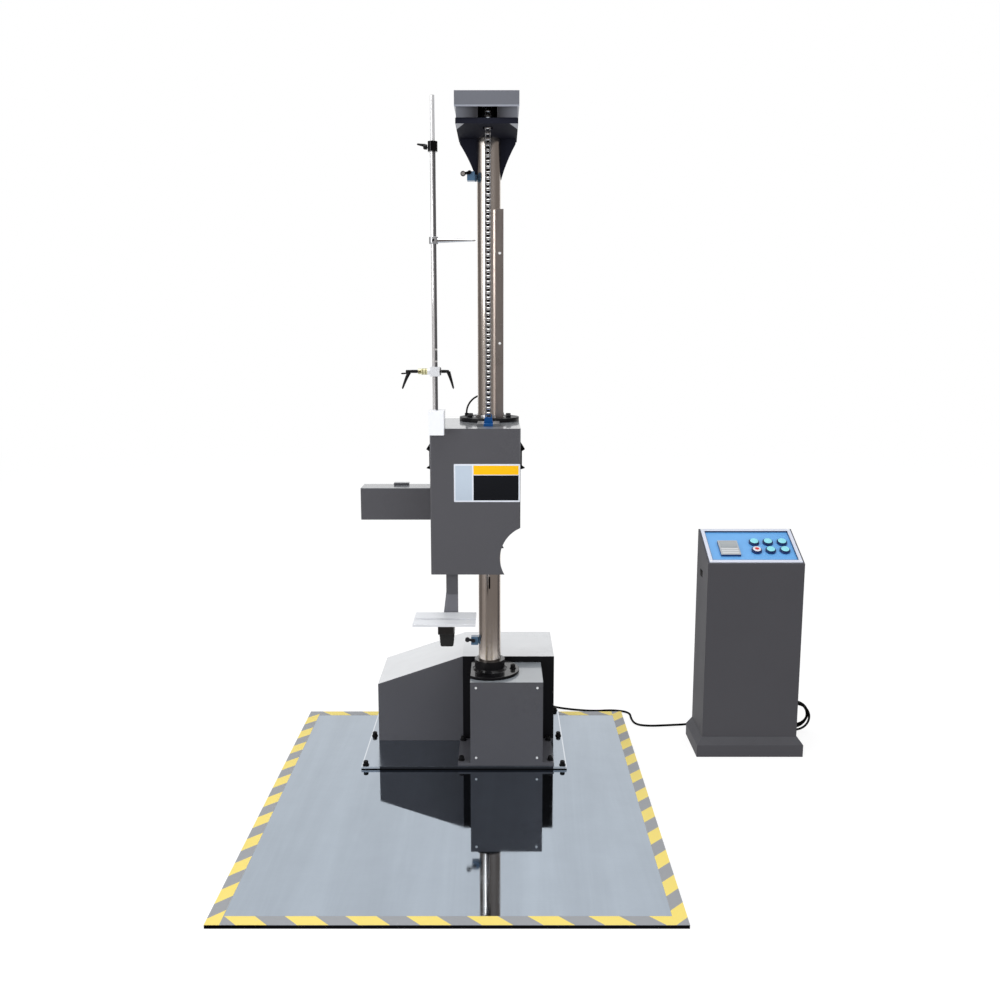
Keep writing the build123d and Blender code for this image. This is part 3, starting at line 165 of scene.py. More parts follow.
class BoltSettings(bpy.types.PropertyGroup):
    head_radius: length("Head radius", 8.0 * MM, "Radius of a cap bolt's head")
    head_height: length("Head height", 12.0 * MM, "Height of a cap bolt's head")
    washer_radius: length("Washer radius", 11.0 * MM, "Radius of a washer")
    washer_thickness: length("Washer", 2.5 * MM, "Thickness of a washer")
    socket_radius: length("Socket", 4.4 * MM, "Half width across the hexagon socket's flats")
    socket_depth: length("Socket depth", 6.0 * MM, "Depth of the hexagon socket")
    knurls: IntProperty(name="Knurls", default=36, min=6, description="Ridges round a head")


class CableSettings(bpy.types.PropertyGroup):
    diameter: length("Diameter", 8.0 * MM, "Diameter of the control cable")
    coil_radius: length("Coil radius", 50.0 * MM, "Radius of the coil's control points")
    coil_pitch: length("Coil pitch", 8.4 * MM, "Distance from one turn to the next")
    half_turns: IntProperty(name="Half turns", default=7, min=1, description="Half turns in the coil")


SETTINGS = {
    "tester_stage": StageSettings,
    "tester_finish": FinishSettings,
    "tester_chain": ChainSettings,
    "tester_bolts": BoltSettings,
    "tester_cable": CableSettings,
}


# Surfaces worked out as arrays. A part is its points and a list of face arrays.


def grid_faces(rows, columns):
    """Four-sided faces between the points of a grid that closes round its columns."""
    row = np.arange(rows - 1)[:, None] * columns
    here = np.arange(columns)[None, :]
    ahead = (here + 1) % columns
    corners = (row + here, row + ahead, row + ahead + columns, row + here + columns)
    return np.stack(corners, -1).reshape(-1, 4)


def basis(axis):
    """Two directions square to an axis, the first turning to the second about it."""
    axis = np.array(axis, float) / np.linalg.norm(axis)
    helper = np.array((0.0, 0.0, 1.0)) if abs(axis[2]) < 0.9 else np.array((1.0, 0.0, 0.0))
    first = np.cross(helper, axis)
    first /= np.linalg.norm(first)
    return first, np.cross(axis, first), axis


def revolved(profile, centre, axis, sides=32, ripple=None):
    """Points c + h w + r s(a) (cos a u + sin a v) for each (r, h) of a profile about axis w.

    s(a) is 1, or 1 + depth cos(count a) on the rows that a ripple (depth, count, rows) names.
    """
    profile = np.array(profile, float)
    u, v, w = basis(axis)
    angle = np.arange(sides) * 2 * np.pi / sides
    scale = np.ones((len(profile), sides))
    if ripple:
        depth, count, rows = ripple
        scale[list(rows)] += depth * np.cos(count * angle)
    ring = np.cos(angle)[:, None] * u + np.sin(angle)[:, None] * v
    radius = profile[:, 0, None] * scale
    points = np.array(centre) + profile[:, 1, None, None] * w + radius[..., None] * ring
    return points.reshape(-1, 3), [grid_faces(len(profile), sides)]


def turned(profile, centre, axis, sides=32, ripple=None):
    """A revolved profile whose radii and heights are in millimetres."""
    return revolved(np.array(profile, float) * MM, centre, axis, sides, ripple)


def swept(path, radii, across, sides=16, flatten=1.0):
    """A section carried along a flat path: p + r (cos a n + f sin a b).

    b is the fixed direction square to the path's plane, n is b x t, f flattens the section
    along b. A radius of nothing at each end closes the surface.
    """
    path = np.array(path, float)
    across = np.array(across, float)
    tangent = np.gradient(path, axis=0)
    tangent /= np.linalg.norm(tangent, axis=1)[:, None]
    normal = np.cross(across, tangent)
    angle = np.arange(sides) * 2 * np.pi / sides
    section = np.cos(angle)[None, :, None] * normal[:, None, :]
    section = section + flatten * np.sin(angle)[None, :, None] * across
    points = path[:, None, :] + np.array(radii)[:, None, None] * section
    return points.reshape(-1, 3), [grid_faces(len(path), sides)]


def bezier(a, b, c, steps):
    """Points (1-t)^2 a + 2 t (1-t) b + t^2 c of a curve from a to c that heads for b."""
    t = np.linspace(0, 1, steps)[:, None]
    return (1 - t) ** 2 * np.array(a) + 2 * t * (1 - t) * np.array(b) + t**2 * np.array(c)


def slab(outline, depth, chamfer, origin, right, up, out):
    """A closed outline drawn out by a depth, with a chamfer round both of its faces.

    Point o + x k r + y k u + z n, where k pulls the end rings in by the chamfer.
    """
    outline = np.array(outline, float)
    middle = (outline.max(0) + outline.min(0)) / 2
    reach = np.abs(outline - middle).max(0)
    pulled = middle + (outline - middle) * (1 - chamfer / reach)
    rings = [(pulled, 0.0), (outline, chamfer), (outline, depth - chamfer), (pulled, depth)]
    points = np.concatenate(
        [
            origin + ring[:, :1] * right + ring[:, 1:] * up + height * out
            for ring, height in rings
        ]
    )
    count = len(outline)
    caps = np.stack([np.arange(count)[::-1], np.arange(count) + 3 * count])
    return points, [grid_faces(4, count), caps]


def rounded_rectangle(x0, x1, y0, y1, radius, steps=6):
    """A rectangle whose corners are quarter circles."""
    angle = np.linspace(0, np.pi / 2, steps)
    corners = []
    for turn, (x, y) in enumerate(
        ((x1 - radius, y1 - radius), (x0 + radius, y1 - radius),
         (x0 + radius, y0 + radius), (x1 - radius, y0 + radius))
    ):
        a = angle + turn * np.pi / 2
        corners.append(np.stack([x + radius * np.cos(a), y + radius * np.sin(a)], 1))
    return np.concatenate(corners)


def repeated(part, offsets):
    """The same part at every offset."""
    points, faces = part
    offsets = np.array(offsets, float)
    count = len(points)
    all_points = (points[None] + offsets[:, None]).reshape(-1, 3)
    step = np.arange(len(offsets))[:, None, None] * count
    return all_points, [(face[None] + step).reshape(-1, face.shape[1]) for face in faces]


def add_object(name, data):
    """A new object in the scene."""
    made = bpy.data.objects.new(name, data)
    bpy.context.scene.collection.objects.link(made)
    return made


def make_piece(name, parts, body, replaces=(), smooth=38.0):
    """Makes one object of (part, material) pairs, with its doubles merged and faces outwards."""
    points, faces, finish_index, finishes = [], [], [], []
    start = 0
    for (part_points, part_faces), finish in parts:
        if finish not in finishes:
            finishes.append(finish)
        for block in part_faces:
            faces += (block + start).tolist()
            finish_index += [finishes.index(finish)] * len(block)
        points.append(part_points)
        start += len(part_points)
    mesh = bpy.data.meshes.new(name)
    mesh.from_pydata(np.concatenate(points).tolist(), [], faces)
    mesh.polygons.foreach_set("material_index", finish_index)
    for finish in finishes:
        mesh.materials.append(finish)
    work = bmesh.new()
    work.from_mesh(mesh)
    bmesh.ops.remove_doubles(work, verts=work.verts, dist=2e-6)
    bmesh.ops.dissolve_degenerate(work, edges=work.edges, dist=1e-7)
    bmesh.ops.recalc_face_normals(work, faces=work.faces)
    work.to_mesh(mesh)
    work.free()
    mesh.polygons.foreach_set("use_smooth", [True] * len(mesh.polygons))
    mesh.set_sharp_from_angle(angle=math.radians(smooth))
    mesh.validate()
    piece = add_object(name, mesh)
    if body:
        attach(piece, body)
    if replaces:
        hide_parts(*replaces)
    return piece


def on_panel(x, y, z):
    """A point of the console's sloping face: right, up the slope and out of it, in metres."""
    return PANEL_ORIGIN + x * PANEL_RIGHT + y * PANEL_UP + z * PANEL_OUT


# Shader nodes


class Wiring:
    """Adds nodes to a tree and links them."""

    def __init__(self, tree):
        self.tree = tree

    def fill(self, node, inputs):
        """Sets or links a node's inputs."""
        for key, value in inputs.items():
            if isinstance(value, bpy.types.NodeSocket):
                self.tree.links.new(value, node.inputs[key])
            else:
                node.inputs[key].default_value = value

    def add(self, kind, inputs=None, **settings):
        """A node with its settings, and with its inputs set or linked."""
        node = self.tree.nodes.new(kind)
        for key, value in settings.items():
            setattr(node, key, value)
        self.fill(node, inputs or {})
        return node

    def math(self, operation, a, b=0.0, clamp=False):
        """The result of a sum on one or two values."""
        node = self.add("ShaderNodeMath", {0: a, 1: b}, operation=operation, use_clamp=clamp)
        return node.outputs[0]

    def plus(self, a, b, clamp=False):
        """One value added to another."""
        return self.math("ADD", a, b, clamp)

    def minus(self, a, b):
        """One value less another."""
        return self.math("SUBTRACT", a, b)

    def times(self, *values, clamp=False):
        """The product of values."""
        result = values[0]
        for value in values[1:]:
            result = self.math("MULTIPLY", result, value, clamp)
        return result

    def over(self, value, limit):
        """1 where a value is over a limit, and 0 elsewhere."""
        return self.math("GREATER_THAN", value, limit)

    def below(self, value, limit):
        """1 where a value is below a limit, and 0 elsewhere."""
        return self.math("LESS_THAN", value, limit)

    def far_from(self, value, middle):
        """How far a value lies from a middle, to either side."""
        return self.math("ABSOLUTE", self.minus(value, middle))

    def near(self, value, middle, reach, fade):
        """1 round a middle, falling to 0 at a reach from it over the width of a fade."""
        left = self.minus(reach, self.far_from(value, middle))
        return self.math("DIVIDE", left, fade, clamp=True)

    def mix(self, factor, a, b):
        """A colour between two others, each a socket or three channels."""
        a, b = ((*end, 1.0) if isinstance(end, tuple) else end for end in (a, b))
        return self.add("ShaderNodeMix", {0: factor, 6: a, 7: b}, data_type="RGBA").outputs[2]

    def scaled(self, colour, amount):
        """A colour made brighter or darker."""
        inputs = {0: colour, "Scale": amount}
        return self.add("ShaderNodeVectorMath", inputs, operation="SCALE").outputs[0]

    def upward(self):
        """How far a face looks up, from -1 to 1."""
        return self.axes(self.add("ShaderNodeNewGeometry").outputs["Normal"])["Z"]

    def noise(self, vector, scale, detail=2.0, roughness=0.5, distortion=0.0):
        """Soft noise from 0 to 1."""
        inputs = {"Vector": vector, "Scale": scale, "Detail": detail, "Roughness": roughness,
                  "Distortion": distortion}
        return self.add("ShaderNodeTexNoise", inputs).outputs["Fac"]

    def stretched(self, vector, scale, turn=(0.0, 0.0, 0.0)):
        """A vector scaled and turned."""
        inputs = {"Vector": vector, "Scale": scale, "Rotation": turn}
        return self.add("ShaderNodeMapping", inputs).outputs["Vector"]

    def place(self):
        """The object's own coordinates."""
        return self.add("ShaderNodeTexCoord").outputs["Object"]

    def axes(self, vector):
        """The three numbers of a vector."""
        return self.add("ShaderNodeSeparateXYZ", {0: vector}).outputs


def new_group(name, inputs, outputs):
    """A shader node group with named sockets: its wiring, what it is given and its end."""
    tree = bpy.data.node_groups.new(name, "ShaderNodeTree")
    for label, kind, default in inputs:
        socket = tree.interface.new_socket(label, in_out="INPUT", socket_type=kind)
        socket.default_value = default
    for label, kind in outputs:
        tree.interface.new_socket(label, in_out="OUTPUT", socket_type=kind)
    wiring = Wiring(tree)
    return wiring, wiring.add("NodeGroupInput").outputs, wiring.add("NodeGroupOutput")


FLOAT = "NodeSocketFloat"
COLOUR = "NodeSocketColor"
VECTOR = "NodeSocketVector"
GREY = (0.5, 0.5, 0.5, 1.0)
SURFACE_OUT = [("Color", COLOUR), ("Roughness", FLOAT), ("Height", FLOAT)]


def coat_group():
    """Fine grain of a sprayed or moulded skin, with soft clouds in its colour and gloss."""
    inputs = [
        ("Vector", VECTOR, (0.0, 0.0, 0.0)), ("Color", COLOUR, GREY),
        ("Grain Scale", FLOAT, 900.0), ("Clouds", FLOAT, 0.1), ("Roughness", FLOAT, 0.4),
    ]
    w, given, out = new_group("sprayed_coat", inputs, SURFACE_OUT)
    grain = w.noise(given["Vector"], given["Grain Scale"], 3.0, 0.6)
    cloud = w.minus(w.noise(given["Vector"], 4.0, 4.0, 0.55), 0.5)
    speck = w.minus(grain, 0.5)
    shade = w.plus(w.times(cloud, given["Clouds"]), 1.0)
    shade = w.plus(shade, w.times(speck, 0.10))
    rough = w.plus(given["Roughness"], w.times(cloud, 0.18))
    w.fill(out, {
        "Color": w.scaled(given["Color"], shade), "Height": grain,
        "Roughness": w.plus(rough, w.times(speck, 0.08)),
    })
    return w.tree


def drawn_group():
    """Fine lines that drawing, turning or brushing leaves on metal, with faint smudges."""
    inputs = [
        ("Lines", VECTOR, (0.0, 0.0, 0.0)), ("Vector", VECTOR, (0.0, 0.0, 0.0)),
        ("Color", COLOUR, GREY), ("Contrast", FLOAT, 0.2), ("Roughness", FLOAT, 0.25),
    ]
    w, given, out = new_group("drawn_metal", inputs, SURFACE_OUT)
    fine = w.noise(given["Lines"], 1.0, 3.0, 0.7)
    line = w.minus(fine, 0.5)
    smudge = w.minus(w.noise(given["Vector"], 9.0, 5.0, 0.6), 0.5)
    shade = w.plus(w.times(line, given["Contrast"]), 1.0)
    shade = w.plus(shade, w.times(smudge, 0.12))
    rough = w.plus(given["Roughness"], w.times(line, 0.12))
    w.fill(out, {
        "Color": w.scaled(given["Color"], shade), "Height": fine,
        "Roughness": w.plus(rough, w.times(smudge, 0.14), clamp=True),
    })
    return w.tree


def dust_and_sheen_group():
    """Dust that settles on faces that look up, in loose patches; a large amount is a painted sheen of
    light on them.
    """
    inputs = [
        ("Vector", VECTOR, (0.0, 0.0, 0.0)), ("Color", COLOUR, GREY),
        ("Roughness", FLOAT, 0.4), ("Amount", FLOAT, 0.1),
        ("Dust And Sheen", COLOUR, (0.60, 0.65, 0.70, 1.0)),
    ]
    w, given, out = new_group("dust_and_top_sheen", inputs, SURFACE_OUT[:2])
    upward = w.times(w.upward(), 1.0, clamp=True)
    patch = w.times(w.noise(given["Vector"], 7.0, 6.0, 0.62), upward, clamp=True)
    mask = w.times(patch, given["Amount"], clamp=True)
    w.fill(out, {
        "Color": w.mix(mask, given["Color"], given["Dust And Sheen"]),
        "Roughness": w.plus(given["Roughness"], w.times(mask, 0.5), clamp=True),
    })
    return w.tree


def shared_group(name):
    """One of the groups that the finishes share, built once."""
    makers = {"sprayed_coat": coat_group, "drawn_metal": drawn_group, "dust_and_top_sheen": dust_and_sheen_group}
    return bpy.data.node_groups.get(name) or makers[name]()


def blank_material(name):
    """A new material with its wiring and its Principled shader."""
    material = bpy.data.materials.new(name)
    material.use_nodes = True
    shader = material.node_tree.nodes["Principled BSDF"]
    return material, Wiring(material.node_tree), shader


def bumped(w, height, strength, relief):
    """The normal of a relief whose depth is in millimetres."""
    inputs = {"Strength": strength, "Distance": relief * MM, "Height": height}
    return w.add("ShaderNodeBump", inputs).outputs["Normal"]


def coated(name, base, rough, grain=900.0, clouds=0.1, relief=0.02, dust_and_sheen=0.0, coat=0.0,
           specular=0.5, metallic=0.0, coat_on_top=False):
    """Paint, enamel, rubber or moulded plastic. base is a colour or a function of the wiring."""
    material, w, shader = blank_material(name)
    place = w.place()
    inputs = {"Vector": place, "Grain Scale": grain, "Clouds": clouds, "Roughness": rough,
              "Color": base(w, place) if callable(base) else (*base, 1.0)}
    skin = w.add("ShaderNodeGroup", node_tree=shared_group("sprayed_coat"))
    w.fill(skin, inputs)
    top = skin
    # Dust, and with a large amount a painted sheen of light on upper faces
    if dust_and_sheen:
        top = w.add("ShaderNodeGroup", node_tree=shared_group("dust_and_top_sheen"))
        w.fill(top, {"Vector": place, "Color": skin.outputs["Color"],
                     "Roughness": skin.outputs["Roughness"], "Amount": dust_and_sheen})
    w.fill(shader, {
        "Metallic": metallic, "Specular IOR Level": specular, "Coat Weight": coat,
        "Coat Roughness": 0.08, "Base Color": top.outputs["Color"],
        "Roughness": top.outputs["Roughness"],
        "Normal": bumped(w, skin.outputs["Height"], 0.6, relief),
    })
    if coat_on_top:
        w.fill(shader, {"Coat Weight": w.times(w.upward(), coat, clamp=True)})
    return material


def drawn(name, base, rough, stretch, contrast=0.2, relief=0.004, metallic=1.0, dull_sides=False):
    """Bare metal with fine lines. stretch is how often lines come along X, Y and Z, per metre."""
    material, w, shader = blank_material(name)
    place = w.place()
    skin = w.add("ShaderNodeGroup", node_tree=shared_group("drawn_metal"))
    w.fill(skin, {
        "Lines": w.stretched(place, stretch), "Vector": place, "Contrast": contrast,
        "Roughness": rough, "Color": base(w, place) if callable(base) else (*base, 1.0),
    })
    w.fill(shader, {
        "Metallic": metallic, "Base Color": skin.outputs["Color"],
        "Roughness": skin.outputs["Roughness"],
        "Normal": bumped(w, skin.outputs["Height"], 0.5, relief),
    })
    if dull_sides:
        w.fill(shader, {"Metallic": w.over(w.upward(), 0.5), "Specular IOR Level": 0.1})
    return material


# Colours that change over a piece. Places and widths are in metres.


def edged_plate(top, edge_z, rim, w, place):
    """A plate's colour above a height, with faint long streaks, and its black edge below it.

    A rim adds a painted highlight in pale lines at the mounting plate's sides, and painted
    shade on the middle of its front edge.
    """
    plate_middle, rim_start = 0.0105, 0.3405
    front_shade_middle, front_shade_reach = 0.019, 0.291
    axes = w.axes(place)
    streak = w.noise(w.stretched(place, (7.0, 0.45, 1.0), (0.0, 0.0, 0.12)), 1.0, 4.0, 0.6, 0.8)
    swirl = w.noise(w.stretched(place, (1.2, 0.8, 1.0)), 1.0)
    shade = w.plus(w.times(streak, 0.34), w.times(swirl, 0.12))
    face = w.scaled(top, w.plus(shade, 0.78))
    if rim:
        # Painted highlight: pale lines along the plate's left and right rims
        rim_highlight = w.over(w.far_from(axes["X"], plate_middle), rim_start)
        face = w.mix(rim_highlight, face, (0.70, 0.74, 0.79))
        # Painted shade: dark on the middle of the plate's front edge
        side = w.below(w.upward(), 0.5)
        front_shade = w.below(w.far_from(axes["X"], front_shade_middle), front_shade_reach)
        face = w.mix(w.times(side, front_shade), face, (0.028, 0.031, 0.038))
    return w.mix(w.over(axes["Z"], edge_z), (0.004, 0.004, 0.005), face)


def hazard_stripes(yellow, grey, w, place):
    """Slanted bands: along Y - X on the side strips and along X + Y on the front and back."""
    strip_x, side_pitch, front_pitch, yellow_share = 0.562, 0.131, 0.152, 0.51
    side_start, right_lead, front_start, whole_bands = 0.009, 0.079, 1.222, 40.0
    axes = w.axes(place)
    x, y = axes["X"], axes["Y"]
    side = w.over(w.math("ABSOLUTE", x), strip_x)
    lead = w.plus(w.times(w.over(x, 0.0), right_lead), side_start)
    side_phase = w.math("DIVIDE", w.plus(w.minus(y, x), lead), side_pitch)
    front_phase = w.math("DIVIDE", w.plus(w.plus(x, y), front_start), front_pitch)
    phase = w.add("ShaderNodeMix", {0: side, 2: front_phase, 3: side_phase}).outputs[0]
    band = w.below(w.math("FRACT", w.plus(phase, whole_bands)), yellow_share)
    scuff = w.noise(w.stretched(place, (60.0, 60.0, 1.0)), 1.0, 6.0, 0.7)
    worn = w.times(w.over(scuff, 0.66), 0.35)
    return w.mix(worn, w.mix(band, grey, yellow), (0.55, 0.56, 0.57))


def cabinet_tint(paint, w, place):
    """Paint that is a little paler low down, near the floor."""
    height = w.times(w.axes(place)["Z"], 2.2, clamp=True)
    return w.mix(height, tuple(1.3 * channel for channel in paint), paint)


def pale_topped(paint, pale, w, place):
    """The cabinet's paint with a painted sheen of light, pale on its upper faces."""
    up = w.times(w.over(w.upward(), 0.6), w.over(w.axes(place)["Z"], 0.1))
    painted_light = w.plus(w.times(w.noise(place, 6.0, 5.0, 0.6), 0.3), 0.75)
    return w.mix(w.times(up, painted_light, clamp=True), cabinet_tint(paint, w, place), pale)


def arm_tint(paint, w, place):
    """The arm's paint: lighter below its bend, and black on the tongue under the slats."""
    bend_z, tongue_y = 0.655, 0.0315
    axes = w.axes(place)
    shade = w.mix(w.below(axes["Z"], bend_z), paint, tuple(1.75 * channel for channel in paint))
    return w.mix(w.below(axes["Y"], tongue_y), shade, (0.008, 0.007, 0.007))


def hood_tint(paint, w, place):
    """The hood's paint, with a painted highlight on the fold over its skirt and painted shade on the
    skirt's middle.
    """
    skirt_top, fold_top, skirt_shade_reach, skirt_shade_fade = 2.0966, 2.1015, 0.090, 0.055
    axes = w.axes(place)
    skirt = w.below(axes["Z"], skirt_top)
    fold_highlight = w.times(w.below(axes["Z"], fold_top), w.minus(1.0, skirt))
    # Painted highlight: a pale line along the fold over the skirt
    shade = w.mix(fold_highlight, paint, tuple(2.0 * channel for channel in paint))
    # Painted shade: darker on the middle of the skirt
    skirt_shade = w.times(w.near(axes["X"], HEAD_MIDDLE, skirt_shade_reach, skirt_shade_fade), skirt, 0.93)
    return w.mix(skirt_shade, shade, (0.012, 0.012, 0.016))


def bracket_tint(w, place):
    """Blue-black, and pale on the corners of its lower faces under the plate's front."""
    front, corner_start, corner_slant = 0.072, 0.066, 0.30
    axes = w.axes(place)
    under = w.below(w.upward(), -0.6)
    back = w.times(w.minus(axes["Y"], front), corner_slant)
    corner = w.over(w.minus(w.far_from(axes["X"], HEAD_MIDDLE), back), corner_start)
    return w.mix(w.times(under, corner), (0.012, 0.013, 0.022), (0.42, 0.43, 0.46))


def roller_tint(w, place):
    """Bright on the middle of the rollers, and black at their ends: oil and painted shade next to the
    plates.
    """
    middle = w.below(w.far_from(w.axes(place)["X"], CHAIN_MIDDLE), 0.0042)
    return w.mix(middle, (0.01, 0.01, 0.01), (0.95, 0.95, 0.95))


def ringed_roller(w, place):
    """Bright in the middle of the upper switch's roller and on its lever's tip, dark round it."""
    roller_x, roller_z, bright_radius = 0.016, 1.941, 0.0058
    axes = w.axes(place)
    across = w.math("POWER", w.minus(axes["X"], roller_x), 2.0)
    along = w.math("POWER", w.minus(axes["Z"], roller_z), 2.0)
    middle = w.below(w.math("SQRT", w.plus(across, along)), bright_radius)
    return w.mix(middle, (0.02, 0.02, 0.025), (0.95, 0.95, 0.96))


def ringed(shade, w, place):
    """The mast's polish with two thin pale marks, and black from a height up.

    The right side of the tube is darker: painted shade.
    """
    lower_mark, upper_mark, mark_reach = 1.369, 1.404, 0.0024
    shade_from_x, black_from_z = -0.0612, 1.9638
    axes = w.axes(place)
    # Painted shade: the right side of the tube darker
    painted_light = w.mix(w.over(axes["X"], shade_from_x), shade, (0.20, 0.20, 0.21))
    lower, upper = (
        w.below(w.far_from(axes["Z"], mark), mark_reach) for mark in (lower_mark, upper_mark)
    )
    plain = w.mix(w.math("MAXIMUM", lower, upper), painted_light, (1.0, 1.0, 1.0))
    return w.mix(w.over(axes["Z"], black_from_z), plain, (0.006, 0.006, 0.007))


def brass_left(w, place):
    """Silver, and ribbed brass left of the clamp's body."""
    rib_pitch, body_x = 0.0087, -0.0845
    x = w.axes(place)["X"]
    rib = w.over(w.math("SINE", w.times(x, 2 * math.pi / rib_pitch)), -0.55)
    brass = w.mix(rib, (0.26, 0.24, 0.12), (0.66, 0.63, 0.37))
    return w.mix(w.below(x, body_x), (0.86, 0.88, 0.92), brass)


def column_tint(shade, w, place):
    """Hard chrome, with a dark track where the chain runs in front of it: oil and painted shade."""
    middle, reach, fade, foot, axis_y = 0.0934, 0.0095, 0.003, 1.18, 0.306
    axes = w.axes(place)
    front, high = w.below(axes["Y"], axis_y), w.over(axes["Z"], foot)
    # Oil and painted shade behind the chain
    track = w.times(w.near(axes["X"], middle, reach, fade), front, high)
    return w.mix(track, shade, (0.03, 0.027, 0.025))


def anchor_tint(blue, grey, w, place):
    """Blue on the anchor's narrow block and grey on the pad under it."""
    block = w.below(w.far_from(w.axes(place)["X"], CHAIN_MIDDLE), 0.0142)
    return w.mix(block, grey, blue)


def display_tint(w, place):
    """Pale grey on the display's face, and navy round its sides: painted shade."""
    out = tuple(float(value) for value in PANEL_OUT)
    along = w.add("ShaderNodeVectorMath", {0: place, 1: out}, operation="DOT_PRODUCT")
    height = w.minus(along.outputs["Value"], float(np.dot(PANEL_ORIGIN, PANEL_OUT)))
    # Painted shade: navy on the display's sides
    return w.mix(w.over(height, 0.0062), (0.012, 0.04, 0.16), (0.46, 0.48, 0.50))


def label_fields(w, place):
    """Plain fields of an unprinted plate: pale at the left, amber over black at the right."""
    axes = w.axes(place)
    shade = (0.72, 0.76, 0.84)
    for (x0, x1, z0, z1), field in (
        (PALE_FIELD, (0.50, 0.58, 0.68)), (AMBER_FIELD, (0.95, 0.52, 0.004)),
        (BLACK_FIELD, (0.006, 0.007, 0.010)),
    ):
        across = w.times(w.over(axes["X"], x0), w.below(axes["X"], x1))
        along = w.times(w.over(axes["Z"], z0), w.below(axes["Z"], z1))
        shade = w.mix(w.times(across, along), shade, field)
    return shade


def make_finishes(finish):
    """The finishes of the record's slots, and those of details inside a slot's pieces."""
    housing = tuple(finish.housing_paint)
    tape = partial(hazard_stripes, tuple(finish.tape_yellow), tuple(finish.tape_grey))
    anchor = partial(anchor_tint, tuple(finish.anchor), (0.16, 0.165, 0.175))
    # Painted sheen: pale upper faces on the cabinet and the pedestal
    cabinet = partial(pale_topped, housing, (0.80, 0.82, 0.85))
    pedestal = partial(pale_topped, housing, (0.42, 0.46, 0.50))
    impact_plate = partial(edged_plate, tuple(finish.plate), 0.0096, False)
    mounting_plate = partial(edged_plate, tuple(finish.mounting_plate), 0.0130, True)
    column = partial(column_tint, tuple(finish.column))
    up_lines = (700.0, 700.0, 6.0)

    # Colour, roughness, grain per metre, clouds, relief in millimetres, dust and painted top sheen,
    # clear coat, specular, metallic, and whether the clear coat is on upper faces only
    coats = {
        "hazard_tape": (tape, 0.42, 500.0, 0.10, 0.01, 0.12, 0.0, 0.3),
        # grey_paint: its large dust amount is mostly a painted sheen of light on the housings' tops
        "grey_paint": (partial(cabinet_tint, housing), 0.30, 1100.0, 0.10, 0.02, 0.55, 0.8),
        "console_paint": (tuple(finish.console_paint), 0.55, 1100.0, 0.10, 0.03, 0.08, 0.0, 0.2),
        "black_steel": (tuple(finish.black), 0.4, 800.0, 0.25, 0.02, 0.02, 0.0, 0.2),
        "machine_blue": ((0.02, 0.055, 0.12), 0.35, 600.0, 0.15, 0.05, 0.0, 0.3),
        "switch_blue": ((0.075, 0.16, 0.27), 0.3, 700.0, 0.15, 0.03, 0.0, 0.4),
        "anchor_blue": (anchor, 0.35, 500.0, 0.18, 0.03, 0.0, 0.0, 0.3),
        "black_plastic": ((0.006, 0.006, 0.007), 0.42, 1500.0, 0.2, 0.06, 0.0, 0.0, 0.2),
        "black_rubber": ((0.008, 0.008, 0.009), 0.55, 1200.0, 0.25, 0.06, 0.05, 0.0, 0.2),
        "white_paint": ((0.72, 0.76, 0.88), 0.3, 1000.0, 0.06, 0.03),
        "panel_blue": (tuple(finish.panel), 0.3, 1600.0, 0.05, 0.02, 0.0, 0.2),
        "display_grey": (display_tint, 0.32, 1400.0, 0.06, 0.02),
        "bezel_blue": ((0.008, 0.028, 0.14), 0.25, 900.0, 0.08, 0.01, 0.0, 0.4),
        "button_cyan": ((0.36, 0.82, 0.88), 0.22, 900.0, 0.05, 0.01, 0.0, 0.5),
        "button_red": ((0.62, 0.05, 0.05), 0.22, 900.0, 0.05, 0.01, 0.0, 0.5),
        "lever_black": ((0.006, 0.006, 0.007), 0.45, 2200.0, 0.3, 0.12, 0.0, 0.0, 0.25),
        "label_plate": (label_fields, 0.5, 800.0, 0.04, 0.004, 0.0, 0.0, 0.15),
        "bolt_black": ((0.006, 0.006, 0.007), 0.32, 1500.0, 0.2, 0.02, 0.0, 0.0, 0.25),
        "screen": ((0.34, 0.37, 0.39), 0.15, 900.0, 0.05, 0.003, 0.0, 0.4),
        "pale_strip": ((0.66, 0.68, 0.70), 0.3, 900.0, 0.04, 0.004),
        "pale_lens": ((0.80, 0.78, 0.84), 0.25, 900.0, 0.04, 0.004, 0.0, 0.4),
        "collar_black": ((0.006, 0.006, 0.007), 0.4, 900.0, 0.2, 0.01, 0.0, 0.9, 0.1, 0.0, True),
        "hood_grey": (partial(hood_tint, tuple(finish.hood_paint)), 0.32, 1100.0, 0.08, 0.02,
                      0.0, 0.3),
        "cabinet_paint": (cabinet, 0.30, 1100.0, 0.10, 0.02, 0.0, 0.8),
        "pedestal_paint": (pedestal, 0.30, 1100.0, 0.10, 0.02, 0.0, 0.8),
        "arm_paint": (partial(arm_tint, housing), 0.4, 1100.0, 0.10, 0.02, 0.0, 0.3),
        "bracket_black": (bracket_tint, 0.7, 800.0, 0.2, 0.02, 0.0, 0.0, 0.08),
        "grip_black": ((0.005, 0.005, 0.006), 0.8, 1500.0, 0.2, 0.06, 0.0, 0.0, 0.03),
        "slat_metal": ((0.86, 0.88, 0.92), 0.4, 700.0, 0.1, 0.01, 0.0, 0.0, 0.5, 0.25),
        "block_white": ((0.93, 0.95, 0.99), 0.4, 900.0, 0.04, 0.02, 0.0, 0.2),
        "screw_head": ((0.90, 0.91, 0.92), 0.35, 900.0, 0.05, 0.01, 0.0, 0.3),
        "cable_black": ((0.003, 0.003, 0.003), 0.7, 1200.0, 0.25, 0.03, 0.0, 0.0, 0.06),
        # Painted shade: navy for the shaded button skirts and the walls of the panel's recess
        "navy_side": ((0.010, 0.035, 0.12), 0.3, 900.0, 0.05, 0.01),
        # Painted shade: black for the hollow of the grip pocket
        "void_black": ((0.004, 0.004, 0.004), 0.7, 400.0, 0.1, 0.01, 0.0, 0.0, 0.1),
    }
